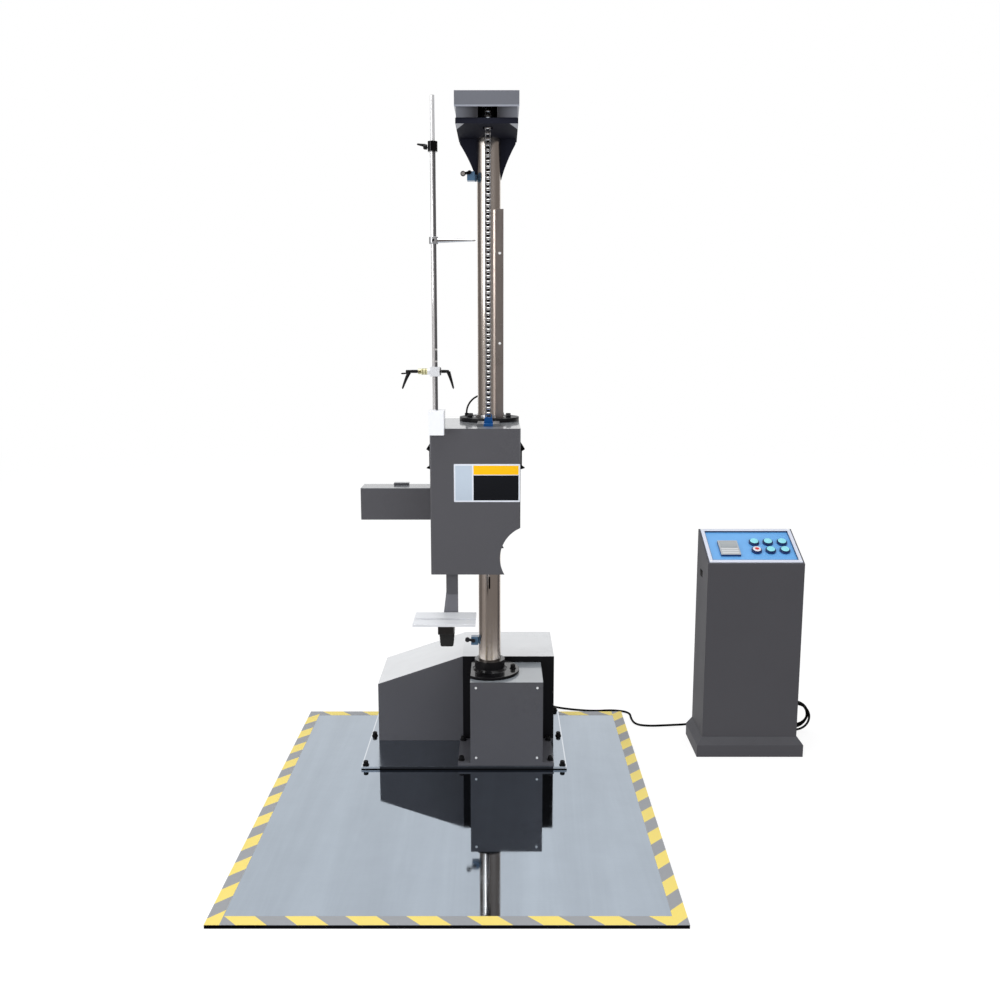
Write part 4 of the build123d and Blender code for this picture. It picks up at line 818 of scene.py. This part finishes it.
    # Colour, roughness, lines per metre along X, Y and Z, contrast, relief in millimetres,
    # metallic, and whether the sides are dull
    metals = {
        "polished_plate": (impact_plate, 0.035, (3.0, 260.0, 1.0), 0.03, 0.0004),
        "pale_plate": (mounting_plate, 0.13, (260.0, 6.0, 1.0), 0.05, 0.0006, 1.0, True),
        "dark_steel": ((0.06, 0.06, 0.065), 0.35, (300.0, 300.0, 300.0)),
        "bright_steel": ((0.46, 0.46, 0.47), 0.26, (40.0, 40.0, 900.0)),
        "chrome": (column, 0.17, (900.0, 900.0, 6.0), 0.12, 0.002),
        "chain_steel": ((0.007, 0.007, 0.009), 0.35, (400.0, 400.0, 400.0)),
        "aluminium": ((0.84, 0.87, 0.93), 0.3, (8.0, 700.0, 700.0), 0.14),
        "roller_steel": (roller_tint, 0.2, (600.0, 60.0, 60.0)),
        "brass": ((0.64, 0.60, 0.34), 0.24, (500.0, 40.0, 40.0)),
        "rail_steel": ((0.60, 0.56, 0.54), 0.3, (40.0, 40.0, 5.0), 0.1),
        "clamp_metal": (brass_left, 0.3, (500.0, 60.0, 60.0), 0.1, 0.004, 0.25),
        "upper_lever": (ringed_roller, 0.3, (300.0, 60.0, 300.0)),
        "mast_marked": (partial(ringed, (0.98, 0.98, 1.0)), 0.12, up_lines, 0.12, 0.002, 0.7),
        "rod_pale": ((0.92, 0.93, 0.95), 0.15, up_lines, 0.12, 0.002, 0.55),
        "mast_chrome": ((0.74, 0.75, 0.77), 0.12, up_lines, 0.12, 0.002),
    }
    made = {name: coated(name, *row) for name, row in coats.items()}
    made.update({name: drawn(name, *row) for name, row in metals.items()})
    return made


def finish_named(name):
    """The material of that name: for a slot the frame's plain one, else one made above."""
    return bpy.data.materials[name]


# Operators


class TESTER_OT_stage(bpy.types.Operator):
    """Sets the pale floor, the soft lamps, the even light and the camera"""

    bl_idname = "tester.stage"
    bl_label = "Stage"

    def execute(self, context):
        stage = context.scene.tester_stage
        self.make_world(context.scene, stage.ambient)
        self.make_floor()
        self.make_lamps(stage)
        self.make_cards(stage.card_shade)
        camera = add_object("camera", bpy.data.cameras.new("camera"))
        camera.location = stage.camera_place
        camera.rotation_euler = (stage.camera_pitch, 0.0, 0.0)
        camera.data.lens = stage.focal_length
        camera.data.sensor_width = 36.0
        camera.data.clip_end = 60.0
        context.scene.camera = camera
        context.scene.view_settings.view_transform = "Standard"
        return {"FINISHED"}

    def make_world(self, scene, ambient):
        """White to the eye and in reflections, and a plain grey light on the object."""
        world = bpy.data.worlds.new("pale_room")
        world.use_nodes = True
        scene.world = world
        w = Wiring(world.node_tree)
        path = w.add("ShaderNodeLightPath").outputs
        seen = w.math("MAXIMUM", path["Is Camera Ray"], path["Is Glossy Ray"])
        seen = w.math("MAXIMUM", seen, path["Is Transmission Ray"])
        shade = w.mix(seen, (ambient, ambient, ambient), (1.0, 1.0, 1.0))
        w.fill(world.node_tree.nodes["Background"], {"Color": shade})

    def make_floor(self):
        """A wide pale floor that takes the object's shadow."""
        half, height = 9.0, -0.0006
        mesh = bpy.data.meshes.new("floor")
        corners = [(-half, -half), (half, -half), (half, half), (-half, half)]
        mesh.from_pydata([(x, y, height) for x, y in corners], [], [(0, 1, 2, 3)])
        floor = add_object("floor", mesh)
        material, w, shader = blank_material("pale_floor")
        w.fill(shader, {"Base Color": (0.93, 0.93, 0.935, 1.0), "Roughness": 0.9,
                        "Specular IOR Level": 0.0})
        glow = w.add("ShaderNodeEmission", {"Color": (1.0, 1.0, 1.0, 1.0), "Strength": 1.16})
        path = w.add("ShaderNodeLightPath").outputs
        seen = w.math("MAXIMUM", path["Is Camera Ray"], path["Is Glossy Ray"])
        share = w.times(seen, 0.72)
        blend = w.add("ShaderNodeMixShader", {0: share, 1: shader.outputs[0], 2: glow.outputs[0]})
        w.fill(material.node_tree.nodes["Material Output"], {"Surface": blend.outputs[0]})
        mesh.materials.append(material)

    def make_lamps(self, stage):
        """A tall strip at the left, a wide lamp overhead and a fill at the front right."""
        lamps = (
            ("strip_lamp", (-2.6, -1.9, 1.5), (0.1, 0.3, 1.2), 0.5, 2.8, stage.strip_power),
            ("top_lamp", (-0.4, -0.6, 4.4), (0.1, 0.2, 0.0), 3.0, 3.0, stage.top_power),
            ("fill_lamp", (3.2, -3.4, 2.4), (0.3, 0.2, 0.8), 2.4, 2.4, stage.fill_power),
        )
        for name, place, target, width, height, power in lamps:
            data = bpy.data.lights.new(name, "AREA")
            data.shape = "RECTANGLE"
            data.size = width
            data.size_y = height
            data.energy = power
            lamp = add_object(name, data)
            lamp.location = place
            away = Vector(place) - Vector(target)
            lamp.rotation_euler = away.to_track_quat("Z", "Y").to_euler()

    def make_cards(self, shade):
        """Curved dark cards round the column, seen only as bands in its reflections.

        A card runs over (x + r sin a, y - r cos a) for the angles a from its start to its end,
        first outwards along the floor and then up.
        """
        middle_x, middle_y, steps = 0.096, 0.306, 33
        for name, start, end, high, glow in (
            ("right_card", -42.0, 130.0, 3.6, 1.0), ("left_card", -138.0, -82.0, 3.6, 0.8),
            ("low_card", -82.0, -42.0, 1.62, 1.35),
        ):
            profile = ((1.15, 0.004), (2.2, 0.004), (2.2, high))
            angle = np.radians(np.linspace(start, end, steps))
            rows = [
                np.column_stack([middle_x + r * np.sin(angle), middle_y - r * np.cos(angle),
                                 np.full(steps, z)])
                for r, z in profile
            ]
            here = (np.arange(2)[:, None] * steps + np.arange(steps - 1)).ravel()
            faces = np.column_stack([here, here + 1, here + steps + 1, here + steps])
            mesh = bpy.data.meshes.new(name)
            mesh.from_pydata(np.concatenate(rows).tolist(), [], faces.tolist())
            card = add_object(name, mesh)
            card.visible_camera = False
            card.visible_diffuse = False
            card.visible_shadow = False
            card.visible_transmission = False
            material, w, shader = blank_material(name)
            w.fill(shader, {"Base Color": (0.0, 0.0, 0.0, 1.0), "Specular IOR Level": 0.0,
                            "Emission Color": (*shade, 1.0), "Emission Strength": glow})
            mesh.materials.append(material)


class TESTER_OT_finishes(bpy.types.Operator):
    """Makes every finish and gives each node of the frame the finish of its slot"""

    bl_idname = "tester.finishes"
    bl_label = "Finishes"

    # Nodes that look different from the rest of their slot
    own_finish = {
        "column_collar": "collar_black", "top_hood": "hood_grey", "guide_rail": "rail_steel",
        "cross_clamp": "clamp_metal", "upper_switch_lever": "upper_lever",
        "mast_tube": "mast_marked", "mast_rod": "rod_pale", "piston_rod": "mast_chrome",
        "motor_cabinet": "cabinet_paint", "arm_bar": "arm_paint", "pedestal": "pedestal_paint",
        "head_bracket": "bracket_black", "side_handles": "grip_black",
        "specimen_slats": "slat_metal", "mast_block": "block_white",
        "small_screws": "screw_head",
    }

    def execute(self, context):
        made = make_finishes(context.scene.tester_finish)
        for name, node in NODES.items():
            node.data.materials.clear()
            node.data.materials.append(made[self.own_finish.get(name, SLOT_OF[name])])
        NODES["lower_switch_lever"].data.materials[0] = finish_named("dark_steel")
        return {"FINISHED"}


class TESTER_OT_edges(bpy.types.Operator):
    """Rounds the folded, cut and machined edges of the frame's nodes"""

    bl_idname = "tester.edges"
    bl_label = "Rounded edges"

    # Widths of the roundings, in millimetres
    widths = {
        "impact_plate": 0.3, "mounting_plate": 0.3, "pedestal": 1.2, "motor_cabinet": 1.5,
        "backing_panel": 0.6, "column_collar": 1.0, "head_bracket": 1.0, "top_hood": 0.8,
        "sprocket_frame": 0.8, "base_idler_bracket": 0.8, "gear_motor": 1.5,
        "guide_rail": 0.6, "limit_switches": 1.0, "carriage_housing": 1.0,
        "top_disc": 0.9, "chain_anchor": 0.8, "cross_tube": 1.6, "side_handles": 0.7,
        "arm_cylinder": 0.8, "mast_block": 1.2, "cross_clamp": 0.9, "arm_bar": 0.9,
        "specimen_slats": 0.7, "console_body": 1.4, "console_rear_panel": 0.4,
        "panel_frame": 0.7, "display_unit": 0.6, "button_bezels": 0.5, "cable_glands": 0.5,
        "small_screws": 0.5, "carriage_bushing": 0.6,
    }

    def execute(self, context):
        for name, width in self.widths.items():
            node = NODES[name]
            weld = node.modifiers.new("weld", "WELD")
            weld.merge_threshold = 1e-5
            flat = node.modifiers.new("flat", "DECIMATE")
            flat.decimate_type = "DISSOLVE"
            flat.angle_limit = math.radians(0.5)
            bevel = node.modifiers.new("bevel", "BEVEL")
            bevel.width = width * MM
            bevel.segments = 2
            bevel.limit_method = "ANGLE"
            bevel.angle_limit = math.radians(32)
            bevel.harden_normals = True
            bevel.miter_outer = "MITER_ARC"
        return {"FINISHED"}


class TESTER_OT_chain(bpy.types.Operator):
    """Makes the roller chain of the front run, link by link"""

    bl_idname = "tester.chain"
    bl_label = "Front chain"

    # The run's ends in Z and its middle in Y, in metres
    top, bottom, y = 2.10, 1.206, 0.136

    def execute(self, context):
        chain = context.scene.tester_chain
        low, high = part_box("lift_chain")
        top, bottom, y = self.top, self.bottom, self.y
        x = (low.x + high.x) / 2
        pins = np.linspace(bottom, top, chain.links + 1)
        pitch = pins[1] - pins[0]
        half = chain.inner_width / 2
        thickness = chain.plate_thickness
        plate = self.link_plate(pitch, chain.plate_radius, chain.plate_waist, thickness)
        starts = np.arange(chain.links)
        offset = half + np.where(starts % 2, thickness, 0.0)
        places = [(x + side * off + (0 if side > 0 else -thickness), y, z)
                  for off, z in zip(offset, pins[:-1]) for side in (-1, 1)]
        edge = 0.5 * MM
        r = chain.roller_radius
        barrel = [(0, -half), (r - edge, -half), (r, -half + edge), (r, half - edge),
                  (r - edge, half), (0, half)]
        roller = revolved(barrel, (0, 0, 0), (1, 0, 0), 16)
        reach = half + 2 * thickness + 0.9 * MM
        pin_r = 2.6 * MM
        rivet = [(0, -reach), (pin_r * 0.7, -reach), (pin_r, -reach + edge),
                 (pin_r, reach - edge), (pin_r * 0.7, reach), (0, reach)]
        pin = revolved(rivet, (0, 0, 0), (1, 0, 0), 10)
        spots = [(x, y, z) for z in pins]
        steel = finish_named("chain_steel")
        bright = finish_named("roller_steel")
        piece = make_piece(
            "hoist_chain",
            [(repeated(plate, places), steel), (repeated(roller, spots), bright),
             (repeated(pin, spots), steel)],
            None, ["lift_chain"],
        )
        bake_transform(piece)
        return {"FINISHED"}

    def link_plate(self, pitch, radius, waist, thickness):
        """A link plate: half width sqrt(r^2 - e^2) past a pin, else r - (r - w) sin^2(pi s/p)."""
        s = pitch / 2 - (pitch / 2 + radius) * np.cos(np.linspace(0, np.pi, 15))
        past = np.maximum(np.maximum(-s, s - pitch), 0.0)
        pinch = (radius - waist) * np.sin(np.pi * np.clip(s / pitch, 0, 1)) ** 2
        half = np.sqrt(np.clip(radius**2 - past**2, 0, None)) - pinch
        outline = np.concatenate(
            [np.stack([half, s], 1), np.stack([-half[-2:0:-1], s[-2:0:-1]], 1)]
        )
        x_axis, y_axis, z_axis = np.eye(3)
        return slab(outline, thickness, 0.25 * MM, np.zeros(3), y_axis, z_axis, x_axis)


class TESTER_OT_bolts(bpy.types.Operator):
    """Makes the knurled cap bolts and washers of the base"""

    bl_idname = "tester.bolts"
    bl_label = "Base bolts"

    # Height of the seats, and X and Y of the bolts that stand there, in millimetres
    places = {
        20.0: [(x, y) for x in (-320.0, 341.0) for y in (198.0, 443.0, 685.0)],
        30.0: [(x, y) for x in (1.0, 301.0) for y in (215.0, 380.0)],
        322.0: [
            (96.0 + 79.0 * math.cos(math.radians(a)), 306.0 + 79.0 * math.sin(math.radians(a)))
            for a in (0.0, 115.0, -115.0)
        ],
    }

    def execute(self, context):
        bolts = context.scene.tester_bolts
        sides = 2 * bolts.knurls
        parts = (self.washer(bolts, sides), self.head(bolts, sides), self.socket(bolts, sides))
        spots = [(x * MM, y * MM, z * MM) for z, pairs in self.places.items() for x, y in pairs]
        finish = finish_named("bolt_black")
        make_piece(
            "cap_bolts", [(repeated(part, spots), finish) for part in parts], "base",
            ["base_bolts"],
        )
        return {"FINISHED"}

    def washer(self, bolts, sides):
        """A flat ring with a small chamfer, closed below."""
        r, t, edge = bolts.washer_radius, bolts.washer_thickness, 0.35 * MM
        profile = [(0, 0), (r - edge, 0), (r, edge), (r, t - edge), (r - edge, t), (0, t)]
        return revolved(profile, (0, 0, 0), (0, 0, 1), sides)

    def head(self, bolts, sides):
        """The knurled side and the chamfered rim, open where the socket starts."""
        r = bolts.head_radius
        low = bolts.washer_thickness
        high = low + bolts.head_height
        profile = [
            (0, low - 0.3 * MM), (r * 0.94, low - 0.3 * MM), (r * 0.94, low + 0.4 * MM),
            (r, low + 0.9 * MM), (r, high - 1.6 * MM), (r * 0.96, high - 0.9 * MM),
            (r * 0.90, high - 0.15 * MM), (r * 0.84, high),
        ]
        return revolved(profile, (0, 0, 0), (0, 0, 1), sides, (0.022, bolts.knurls, (3, 4)))

    def socket(self, bolts, sides):
        """The face from the rim in to a hexagon of radius k / cos(a mod 60 - 30), then its pit."""
        high = bolts.washer_thickness + bolts.head_height
        angle = np.arange(sides) * 2 * np.pi / sides
        hexagon = bolts.socket_radius / np.cos(np.mod(angle, np.pi / 3) - np.pi / 6)
        ring = np.stack([np.cos(angle), np.sin(angle)], 1)
        u, v, _ = basis((0, 0, 1))
        floor = high - bolts.socket_depth
        rows = [
            (np.full(sides, bolts.head_radius * 0.84), high), (hexagon * 1.06, high),
            (hexagon, high - 0.4 * MM), (hexagon, floor), (np.zeros(sides), floor - 1.0 * MM),
        ]
        points = [
            radius[:, None] * (ring[:, :1] * u + ring[:, 1:] * v) + np.array((0, 0, height))
            for radius, height in rows
        ]
        return np.concatenate(points), [grid_faces(len(rows), sides)]


class TESTER_OT_levers(bpy.types.Operator):
    """Makes the three clamp levers of the mast"""

    bl_idname = "tester.levers"
    bl_label = "Clamp levers"

    # Body and node, X of the hub's near and far ends, height, X of the screw's tip, X and Z of
    # the handle's foot and end, radii of the hub and of the handle's foot and tip, millimetres
    levers = (
        ("left_clamp_lever", -112.5, -149.0, 1339.5, -70.3, (-138.0, 1338.5), (-160.0, 1287.0),
         4.6, 6.4, 2.6),
        ("right_clamp_lever", -44.0, -20.0, 1339.5, -53.7, (-23.0, 1340.0), (-7.0, 1287.0),
         4.6, 6.4, 2.6),
        ("rod_clamp_lever", -77.0, -89.0, 1977.0, -70.3, (-82.0, 1981.0), (-107.0, 1985.0),
         7.2, 5.0, 2.4),
    )
    mast_y = 24.0

    def execute(self, context):
        grip = finish_named("lever_black")
        screw = finish_named("bright_steel")
        for name, near, far, height, tip, foot, end, hub, thick, thin in self.levers:
            parts = [
                (self.hub(near, far, height, hub), grip),
                (self.screw(tip, near, height), screw),
                (self.handle(foot, end, thick, thin), grip),
            ]
            if name == "right_clamp_lever":
                parts.append((self.washer(-46.4, -44.2, height, 12.0), grip))
            if name == "left_clamp_lever":
                parts.append((self.washer(-112.4, -102.6, height, 8.0), finish_named("brass")))
                stub = np.array(((-140.0, 24.0, 1334.5), (-152.0, 24.0, 1333.6),
                                 (-163.5, 24.0, 1333.0))) * MM
                radii = np.full(10, 2.3 * MM)
                radii[[0, -1]] = 0
                parts.append((swept(bezier(*stub, 10), radii, (0, 1, 0), 14), grip))
            make_piece(name + "_piece", parts, name, [name])
        return {"FINISHED"}

    def hub(self, near, far, height, radius):
        """A ribbed barrel about X with rounded ends."""
        sign = 1 if far > near else -1
        span = abs(far - near)
        profile = [
            (0, 0), (radius * 0.7, 0), (radius * 0.94, 0.8), (radius, 2.2),
            (radius, span * 0.55), (radius * 0.96, span * 0.6), (radius * 0.96, span - 2.4),
            (radius * 0.8, span - 0.8), (radius * 0.5, span), (0, span),
        ]
        centre = (near * MM, self.mast_y * MM, height * MM)
        return turned(profile, centre, (sign, 0, 0), 48, (0.035, 16, (3, 4)))

    def screw(self, tip, near, height):
        """The clamp screw between the hub and the mast."""
        span = abs(near - tip)
        sign = 1 if tip > near else -1
        profile = [(0, -2), (4, -2), (4, span - 1), (3, span), (0, span)]
        centre = (near * MM, self.mast_y * MM, height * MM)
        return turned(profile, centre, (sign, 0, 0), 20)

    def washer(self, near, far, height, r):
        """A flat washer or a spacing barrel."""
        span = far - near
        profile = [(3, 0), (r - 0.6, 0), (r, 0.6), (r, span - 0.6), (r - 0.6, span), (3, span),
                   (3, 0)]
        return turned(profile, (near * MM, self.mast_y * MM, height * MM), (1, 0, 0), 32)

    def handle(self, foot, end, thick, thin):
        """A grip bowed between two points, thick at its foot and rounded at its tip."""
        y = self.mast_y
        bow = ((foot[0] + end[0]) / 2, foot[1] + 0.40 * (end[1] - foot[1]))
        path = bezier((foot[0], y, foot[1]), (bow[0], y, bow[1]), (end[0], y, end[1]), 22) * MM
        along = np.linspace(0, 1, 22)
        radii = thick + (thin - thick) * along**0.8
        radii = radii * np.sqrt(np.clip(1 - np.clip((along - 0.9) / 0.1, 0, 1) ** 2, 0, 1))
        radii[0] = 0
        radii[1] = thick
        return swept(path, radii * MM, (0, 1, 0), 20, 0.8)


class TESTER_OT_finger(bpy.types.Operator):
    """Makes the holding finger and its collar"""

    bl_idname = "tester.finger"
    bl_label = "Holding finger"

    def execute(self, context):
        x, y, z = -0.062, 0.024, 1.717
        ring = [(8.1, -10), (12.2, -10), (13, -9.2), (13, 9.2), (12.2, 10), (8.1, 10), (8.1, -10)]
        collar = turned(ring, (x, y, z), (0, 0, 1), 40)
        reach = 123.0
        along = np.linspace(0, 1, 24)
        radius = 7.8 - 5.6 * along
        radius *= np.sqrt(np.clip(1 - np.clip((along - 0.985) / 0.015, 0, 1) ** 2, 0, 1))
        taper = [(0, 9.0), (7.8, 9.0)] + [
            (r, 9.6 + (reach - 9.6) * t) for r, t in zip(radius, along)
        ]
        finger = turned(taper, (x, y, z), (1, 0, 0), 28)
        grub = [(0, 0), (2.2, 0), (2.2, 1.0), (3.2, 1.0), (3.2, 4.0), (2.6, 4.6), (0, 4.6)]
        screw = turned(grub, (x, y - 0.0128, z), (0, -1, 0), 20)
        make_piece(
            "finger_piece",
            [(collar, finish_named("bright_steel")), (finger, finish_named("mast_chrome")),
             (screw, finish_named("bolt_black"))],
            "holding_finger", ["holding_finger"],
        )
        return {"FINISHED"}


class TESTER_OT_foot(bpy.types.Operator):
    """Makes the rounded rubber foot under the drop arm"""

    bl_idname = "tester.foot"
    bl_label = "Rubber foot"

    def execute(self, context):
        x, y = -0.030, -0.031
        low, high = 0.513, 0.565
        rows = [(0, 0), (0.80, 0), (0.92, 0.8), (0.985, 2.4), (1.0, 5.0)]
        rows += [(1.0 + 0.008 * math.sin(h / 52 * 2 * math.pi * 5), h) for h in range(8, 49, 2)]
        rows += [(1.0, 50.5), (0.97, 52.0), (0, 52.0)]
        scale = np.array([row[0] for row in rows])
        height = low + np.array([row[1] for row in rows]) * MM
        half = (19.5 + 4.5 * (height - low) / (high - low)) * MM
        angle = np.arange(48) * 2 * np.pi / 48
        square = (np.abs(np.cos(angle)) ** 9 + np.abs(np.sin(angle)) ** 9) ** (-1 / 9)
        reach = (scale * half)[:, None] * square[None, :]
        points = np.stack(
            [x + reach * np.cos(angle), y + reach * np.sin(angle),
             np.broadcast_to(height[:, None], reach.shape)], -1
        )
        part = (points.reshape(-1, 3), [grid_faces(len(rows), 48)])
        make_piece(
            "rubber_foot_piece", [(part, finish_named("black_rubber"))], "drop_arm",
            ["rubber_foot"],
        )
        return {"FINISHED"}


class TESTER_OT_label(bpy.types.Operator):
    """Makes the plain coloured plate on the housing's front"""

    bl_idname = "tester.label"
    bl_label = "Front plate"

    def execute(self, context):
        outline = rounded_rectangle(*LABEL_PLATE, 0.003)
        part = slab(
            outline, 0.9 * MM, 0.15 * MM, np.array((0.0, 0.015, 0.0)),
            np.array((1.0, 0, 0)), np.array((0, 0, 1.0)), np.array((0, -1.0, 0)),
        )
        make_piece("front_plate", [(part, finish_named("label_plate"))], "carriage")
        return {"FINISHED"}


class TESTER_OT_buttons(bpy.types.Operator):
    """Makes the lit caps of the console's buttons"""

    bl_idname = "tester.buttons"
    bl_label = "Buttons"

    columns = (15.5, 63.5, 112.5)
    rows = (120.0, 74.0)
    names = ("button_up", "button_down", "button_reset", "button_drop", "button_home",
             "button_power")

    def execute(self, context):
        spots = [(x, y) for y in self.rows for x in self.columns]
        for name, (x, y) in zip(self.names, spots):
            drop = name == "button_drop"
            lens = finish_named("pale_lens" if drop else "button_cyan")
            middle = finish_named("button_red" if drop else "button_cyan")
            centre = on_panel(x * MM, y * MM, PANEL_FLOOR)
            skirt = [(0, 6.0), (14.2, 6.0), (14.5, 6.4), (14.5, 9.6), (14.2, 10.2)]
            crown = [(14.2, 10.2), (13.6, 11.2), (12.4, 11.7), (10.8, 11.7), (10.2, 11.3),
                     (7.0, 11.6)]
            dome = [(7.0, 11.6), (3.5, 11.9), (0, 12.0)]
            # The skirt's navy is painted shade
            shapes = ((skirt, finish_named("navy_side")), (crown, lens), (dome, middle))
            parts = [(turned(shape, centre, PANEL_OUT, 48), finish) for shape, finish in shapes]
            make_piece(name + "_cap", parts, name, [name])
        return {"FINISHED"}


class TESTER_OT_display(bpy.types.Operator):
    """Makes the display's window and strips, the frame's lining of painted shade and the grip in the
    side
    """

    bl_idname = "tester.display"
    bl_label = "Display"

    def execute(self, context):
        face = 7.0 * MM
        window = self.strip(-107.0, -49.0, 84.0, 118.0, face, 1.0, "screen")
        bars = [self.strip(-107.0, -49.0, y, y + 6.5, face, 0.7, "pale_strip")
                for y in (50.0, 61.0, 72.0)]
        make_piece("display_window", [window, *bars], "base")
        # Painted shade: navy walls inside the frame round the panel
        walls = ((-146.0, -145.2, 18.0, 183.7), (145.2, 146.0, 18.0, 183.7),
                 (-145.2, 145.2, 18.0, 18.8), (-145.2, 145.2, 182.9, 183.7))
        shade_lining = [self.wall(*wall) for wall in walls]
        make_piece("frame_shade_lining", shade_lining, "base")
        # Painted shade: a flat black pad for the shaded hollow of the grip pocket
        outline = rounded_rectangle(0.4105, 0.4495, 0.6140, 0.6380, 0.002)
        pad = slab(outline, 0.8 * MM, 0.1 * MM, np.array((0.8352, 0.0, 0.0)),
                   np.array((0, 1.0, 0)), np.array((0, 0, 1.0)), np.array((1.0, 0, 0)))
        make_piece("grip_pocket", [(pad, finish_named("void_black"))], "base")
        return {"FINISHED"}

    def wall(self, x0, x1, y0, y1):
        """A thin navy strip of painted shade that stands on the panel against the frame's inner side.
        """
        outline = np.array([(x1, y1), (x0, y1), (x0, y0), (x1, y0)]) * MM
        part = slab(outline, 5.8 * MM, 0.05 * MM, on_panel(0, 0, PANEL_FLOOR), PANEL_RIGHT,
                    PANEL_UP, PANEL_OUT)
        return part, finish_named("navy_side")

    def strip(self, x0, x1, y0, y1, height, depth, finish):
        """A thin rounded strip on the display's face."""
        outline = rounded_rectangle(x0 * MM, x1 * MM, y0 * MM, y1 * MM, 2.0 * MM)
        part = slab(outline, depth * MM, 0.2 * MM, on_panel(0, 0, height), PANEL_RIGHT,
                    PANEL_UP, PANEL_OUT)
        return part, finish_named(finish)


class TESTER_OT_louvres(bpy.types.Operator):
    """Presses cooling louvres in the cabinet's back and the console's rear panel"""

    bl_idname = "tester.louvres"
    bl_label = "Louvres"

    def execute(self, context):
        back = [(x, 690.0, z) for x in (-170.0, 130.0) for z in range(105, 226, 20)]
        rear = [(999.0, 508.5, z) for z in range(330, 451, 20)]
        for name, places, width, slot in (
            ("cabinet_louvres", back, 110.0, "grey_paint"),
            ("console_louvres", rear, 150.0, "console_paint"),
        ):
            finish = finish_named(slot)
            parts = [(self.louvre(*place, width, 11.0, 4.5), finish) for place in places]
            make_piece(name, parts, "base")
        return {"FINISHED"}

    def louvre(self, x, y, z, width, height, depth):
        """A hood whose reach is d (1 - s^6) sin(pi t / 2), for s across it and t down it.

        Its open foot is closed by a step back to the wall.
        """
        s = np.linspace(-1, 1, 25)
        t = np.append(np.linspace(0, 1, 9), (1.0, 0.98))
        reach = depth * np.sqrt(np.clip(1 - s**6, 0, 1))[None, :] * np.sin(np.pi * t / 2)[:, None]
        reach[-2:] *= np.array((0.82, 0.0))[:, None]
        across = np.broadcast_to(s * width / 2, reach.shape)
        down = np.broadcast_to(-height * t[:, None], reach.shape)
        points = np.stack([x + across, y + reach, z + down], -1) * MM
        rows, columns = reach.shape
        faces = grid_faces(rows, columns).reshape(rows - 1, columns, 4)[:, :-1].reshape(-1, 4)
        return points.reshape(-1, 3), [faces]


class TESTER_OT_cable(bpy.types.Operator):
    """Lays the control cable from the cabinet to the console, with its coil"""

    bl_idname = "tester.cable"
    bl_label = "Control cable"

    # Control points from the cabinet to the coil and from there to the console, and the coil's
    # middle, in millimetres, and the degrees from one of its points to the next
    lead = [
        (262, 692, 72), (262, 734, 72), (284, 760, 36), (332, 756, 8.5), (402, 737, 4.5),
        (495, 718, 4.5), (572, 730, 4.5), (634, 706, 4.5), (630, 640, 4.5), (640, 584, 4.5),
        (690, 570, 4.5), (760, 578, 4.5), (850, 588, 4.5), (950, 650, 4.5), (1050, 606, 4.5),
        (1132, 540, 4.5), (1185, 520, 5.5),
    ]
    tail = [
        (1162, 543, 116), (1104, 566, 132), (1080, 588, 166), (1080, 580, 207),
        (1080, 549, 236), (1080, 510.5, 236),
    ]
    centre = (1219.0, 516.0, 62.0)
    step = 30.0

    def execute(self, context):
        cable = context.scene.tester_cable
        count = int(cable.half_turns * 180 / self.step)
        turn = np.radians(-90 + self.step * np.arange(count + 1))
        radius = cable.coil_radius / MM
        dip = 0.5 - 0.5 * np.cos((turn + np.pi / 2) / 1.75)
        loose = radius + 3.0 - 11.0 * dip
        x = self.centre[0] + loose * np.cos(turn)
        y = self.centre[1] + cable.coil_pitch / MM * self.step / 360 * np.arange(count + 1)
        z = self.centre[2] + 9.0 * dip + 0.95 * loose * np.sin(turn)
        coil = np.stack([x, y, z], 1).tolist()
        points = self.lead + coil + self.tail
        data = bpy.data.curves.new("control_cable_line", "CURVE")
        data.dimensions = "3D"
        data.resolution_u = 8
        data.bevel_depth = cable.diameter / 2
        data.bevel_resolution = 5
        data.use_fill_caps = True
        spline = data.splines.new("NURBS")
        spline.points.add(len(points) - 1)
        rows = np.column_stack([np.array(points) * MM, np.ones(len(points))])
        spline.points.foreach_set("co", rows.ravel())
        spline.order_u = 3
        spline.use_endpoint_u = True
        data.materials.append(finish_named("cable_black"))
        line = add_object("control_cable_line", data)
        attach(line, "base")
        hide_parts("control_cable", "control_cable_coil")
        return {"FINISHED"}


class TESTER_PT_panel(bpy.types.Panel):
    """Lists the pieces of the drop tester and their settings"""

    bl_label = "Drop Tester"
    bl_idname = "TESTER_PT_panel"
    bl_space_type = "VIEW_3D"
    bl_region_type = "UI"
    bl_category = "Drop Tester"

    def draw(self, context):
        layout = self.layout
        for operator in OPERATORS:
            layout.operator(operator.bl_idname)
        for name, group in SETTINGS.items():
            box = layout.box()
            for prop in group.__annotations__:
                box.prop(getattr(context.scene, name), prop)


OPERATORS = (
    TESTER_OT_stage, TESTER_OT_finishes, TESTER_OT_edges, TESTER_OT_chain, TESTER_OT_bolts,
    TESTER_OT_levers, TESTER_OT_finger, TESTER_OT_foot, TESTER_OT_label, TESTER_OT_buttons,
    TESTER_OT_display, TESTER_OT_louvres, TESTER_OT_cable,
)


def register():
    """Registers the settings, the operators and the panel."""
    for name, group in SETTINGS.items():
        bpy.utils.register_class(group)
        setattr(bpy.types.Scene, name, PointerProperty(type=group))
    for operator in OPERATORS:
        bpy.utils.register_class(operator)
    bpy.utils.register_class(TESTER_PT_panel)


def unregister():
    """Takes all of them away again."""
    bpy.utils.unregister_class(TESTER_PT_panel)
    for operator in reversed(OPERATORS):
        bpy.utils.unregister_class(operator)
    for name, group in SETTINGS.items():
        delattr(bpy.types.Scene, name)
        bpy.utils.unregister_class(group)


def main():
    """Makes every piece in order."""
    register()
    for operator in OPERATORS:
        category, name = operator.bl_idname.split(".")
        getattr(getattr(bpy.ops, category), name)()


if __name__ == "__main__":
    main()
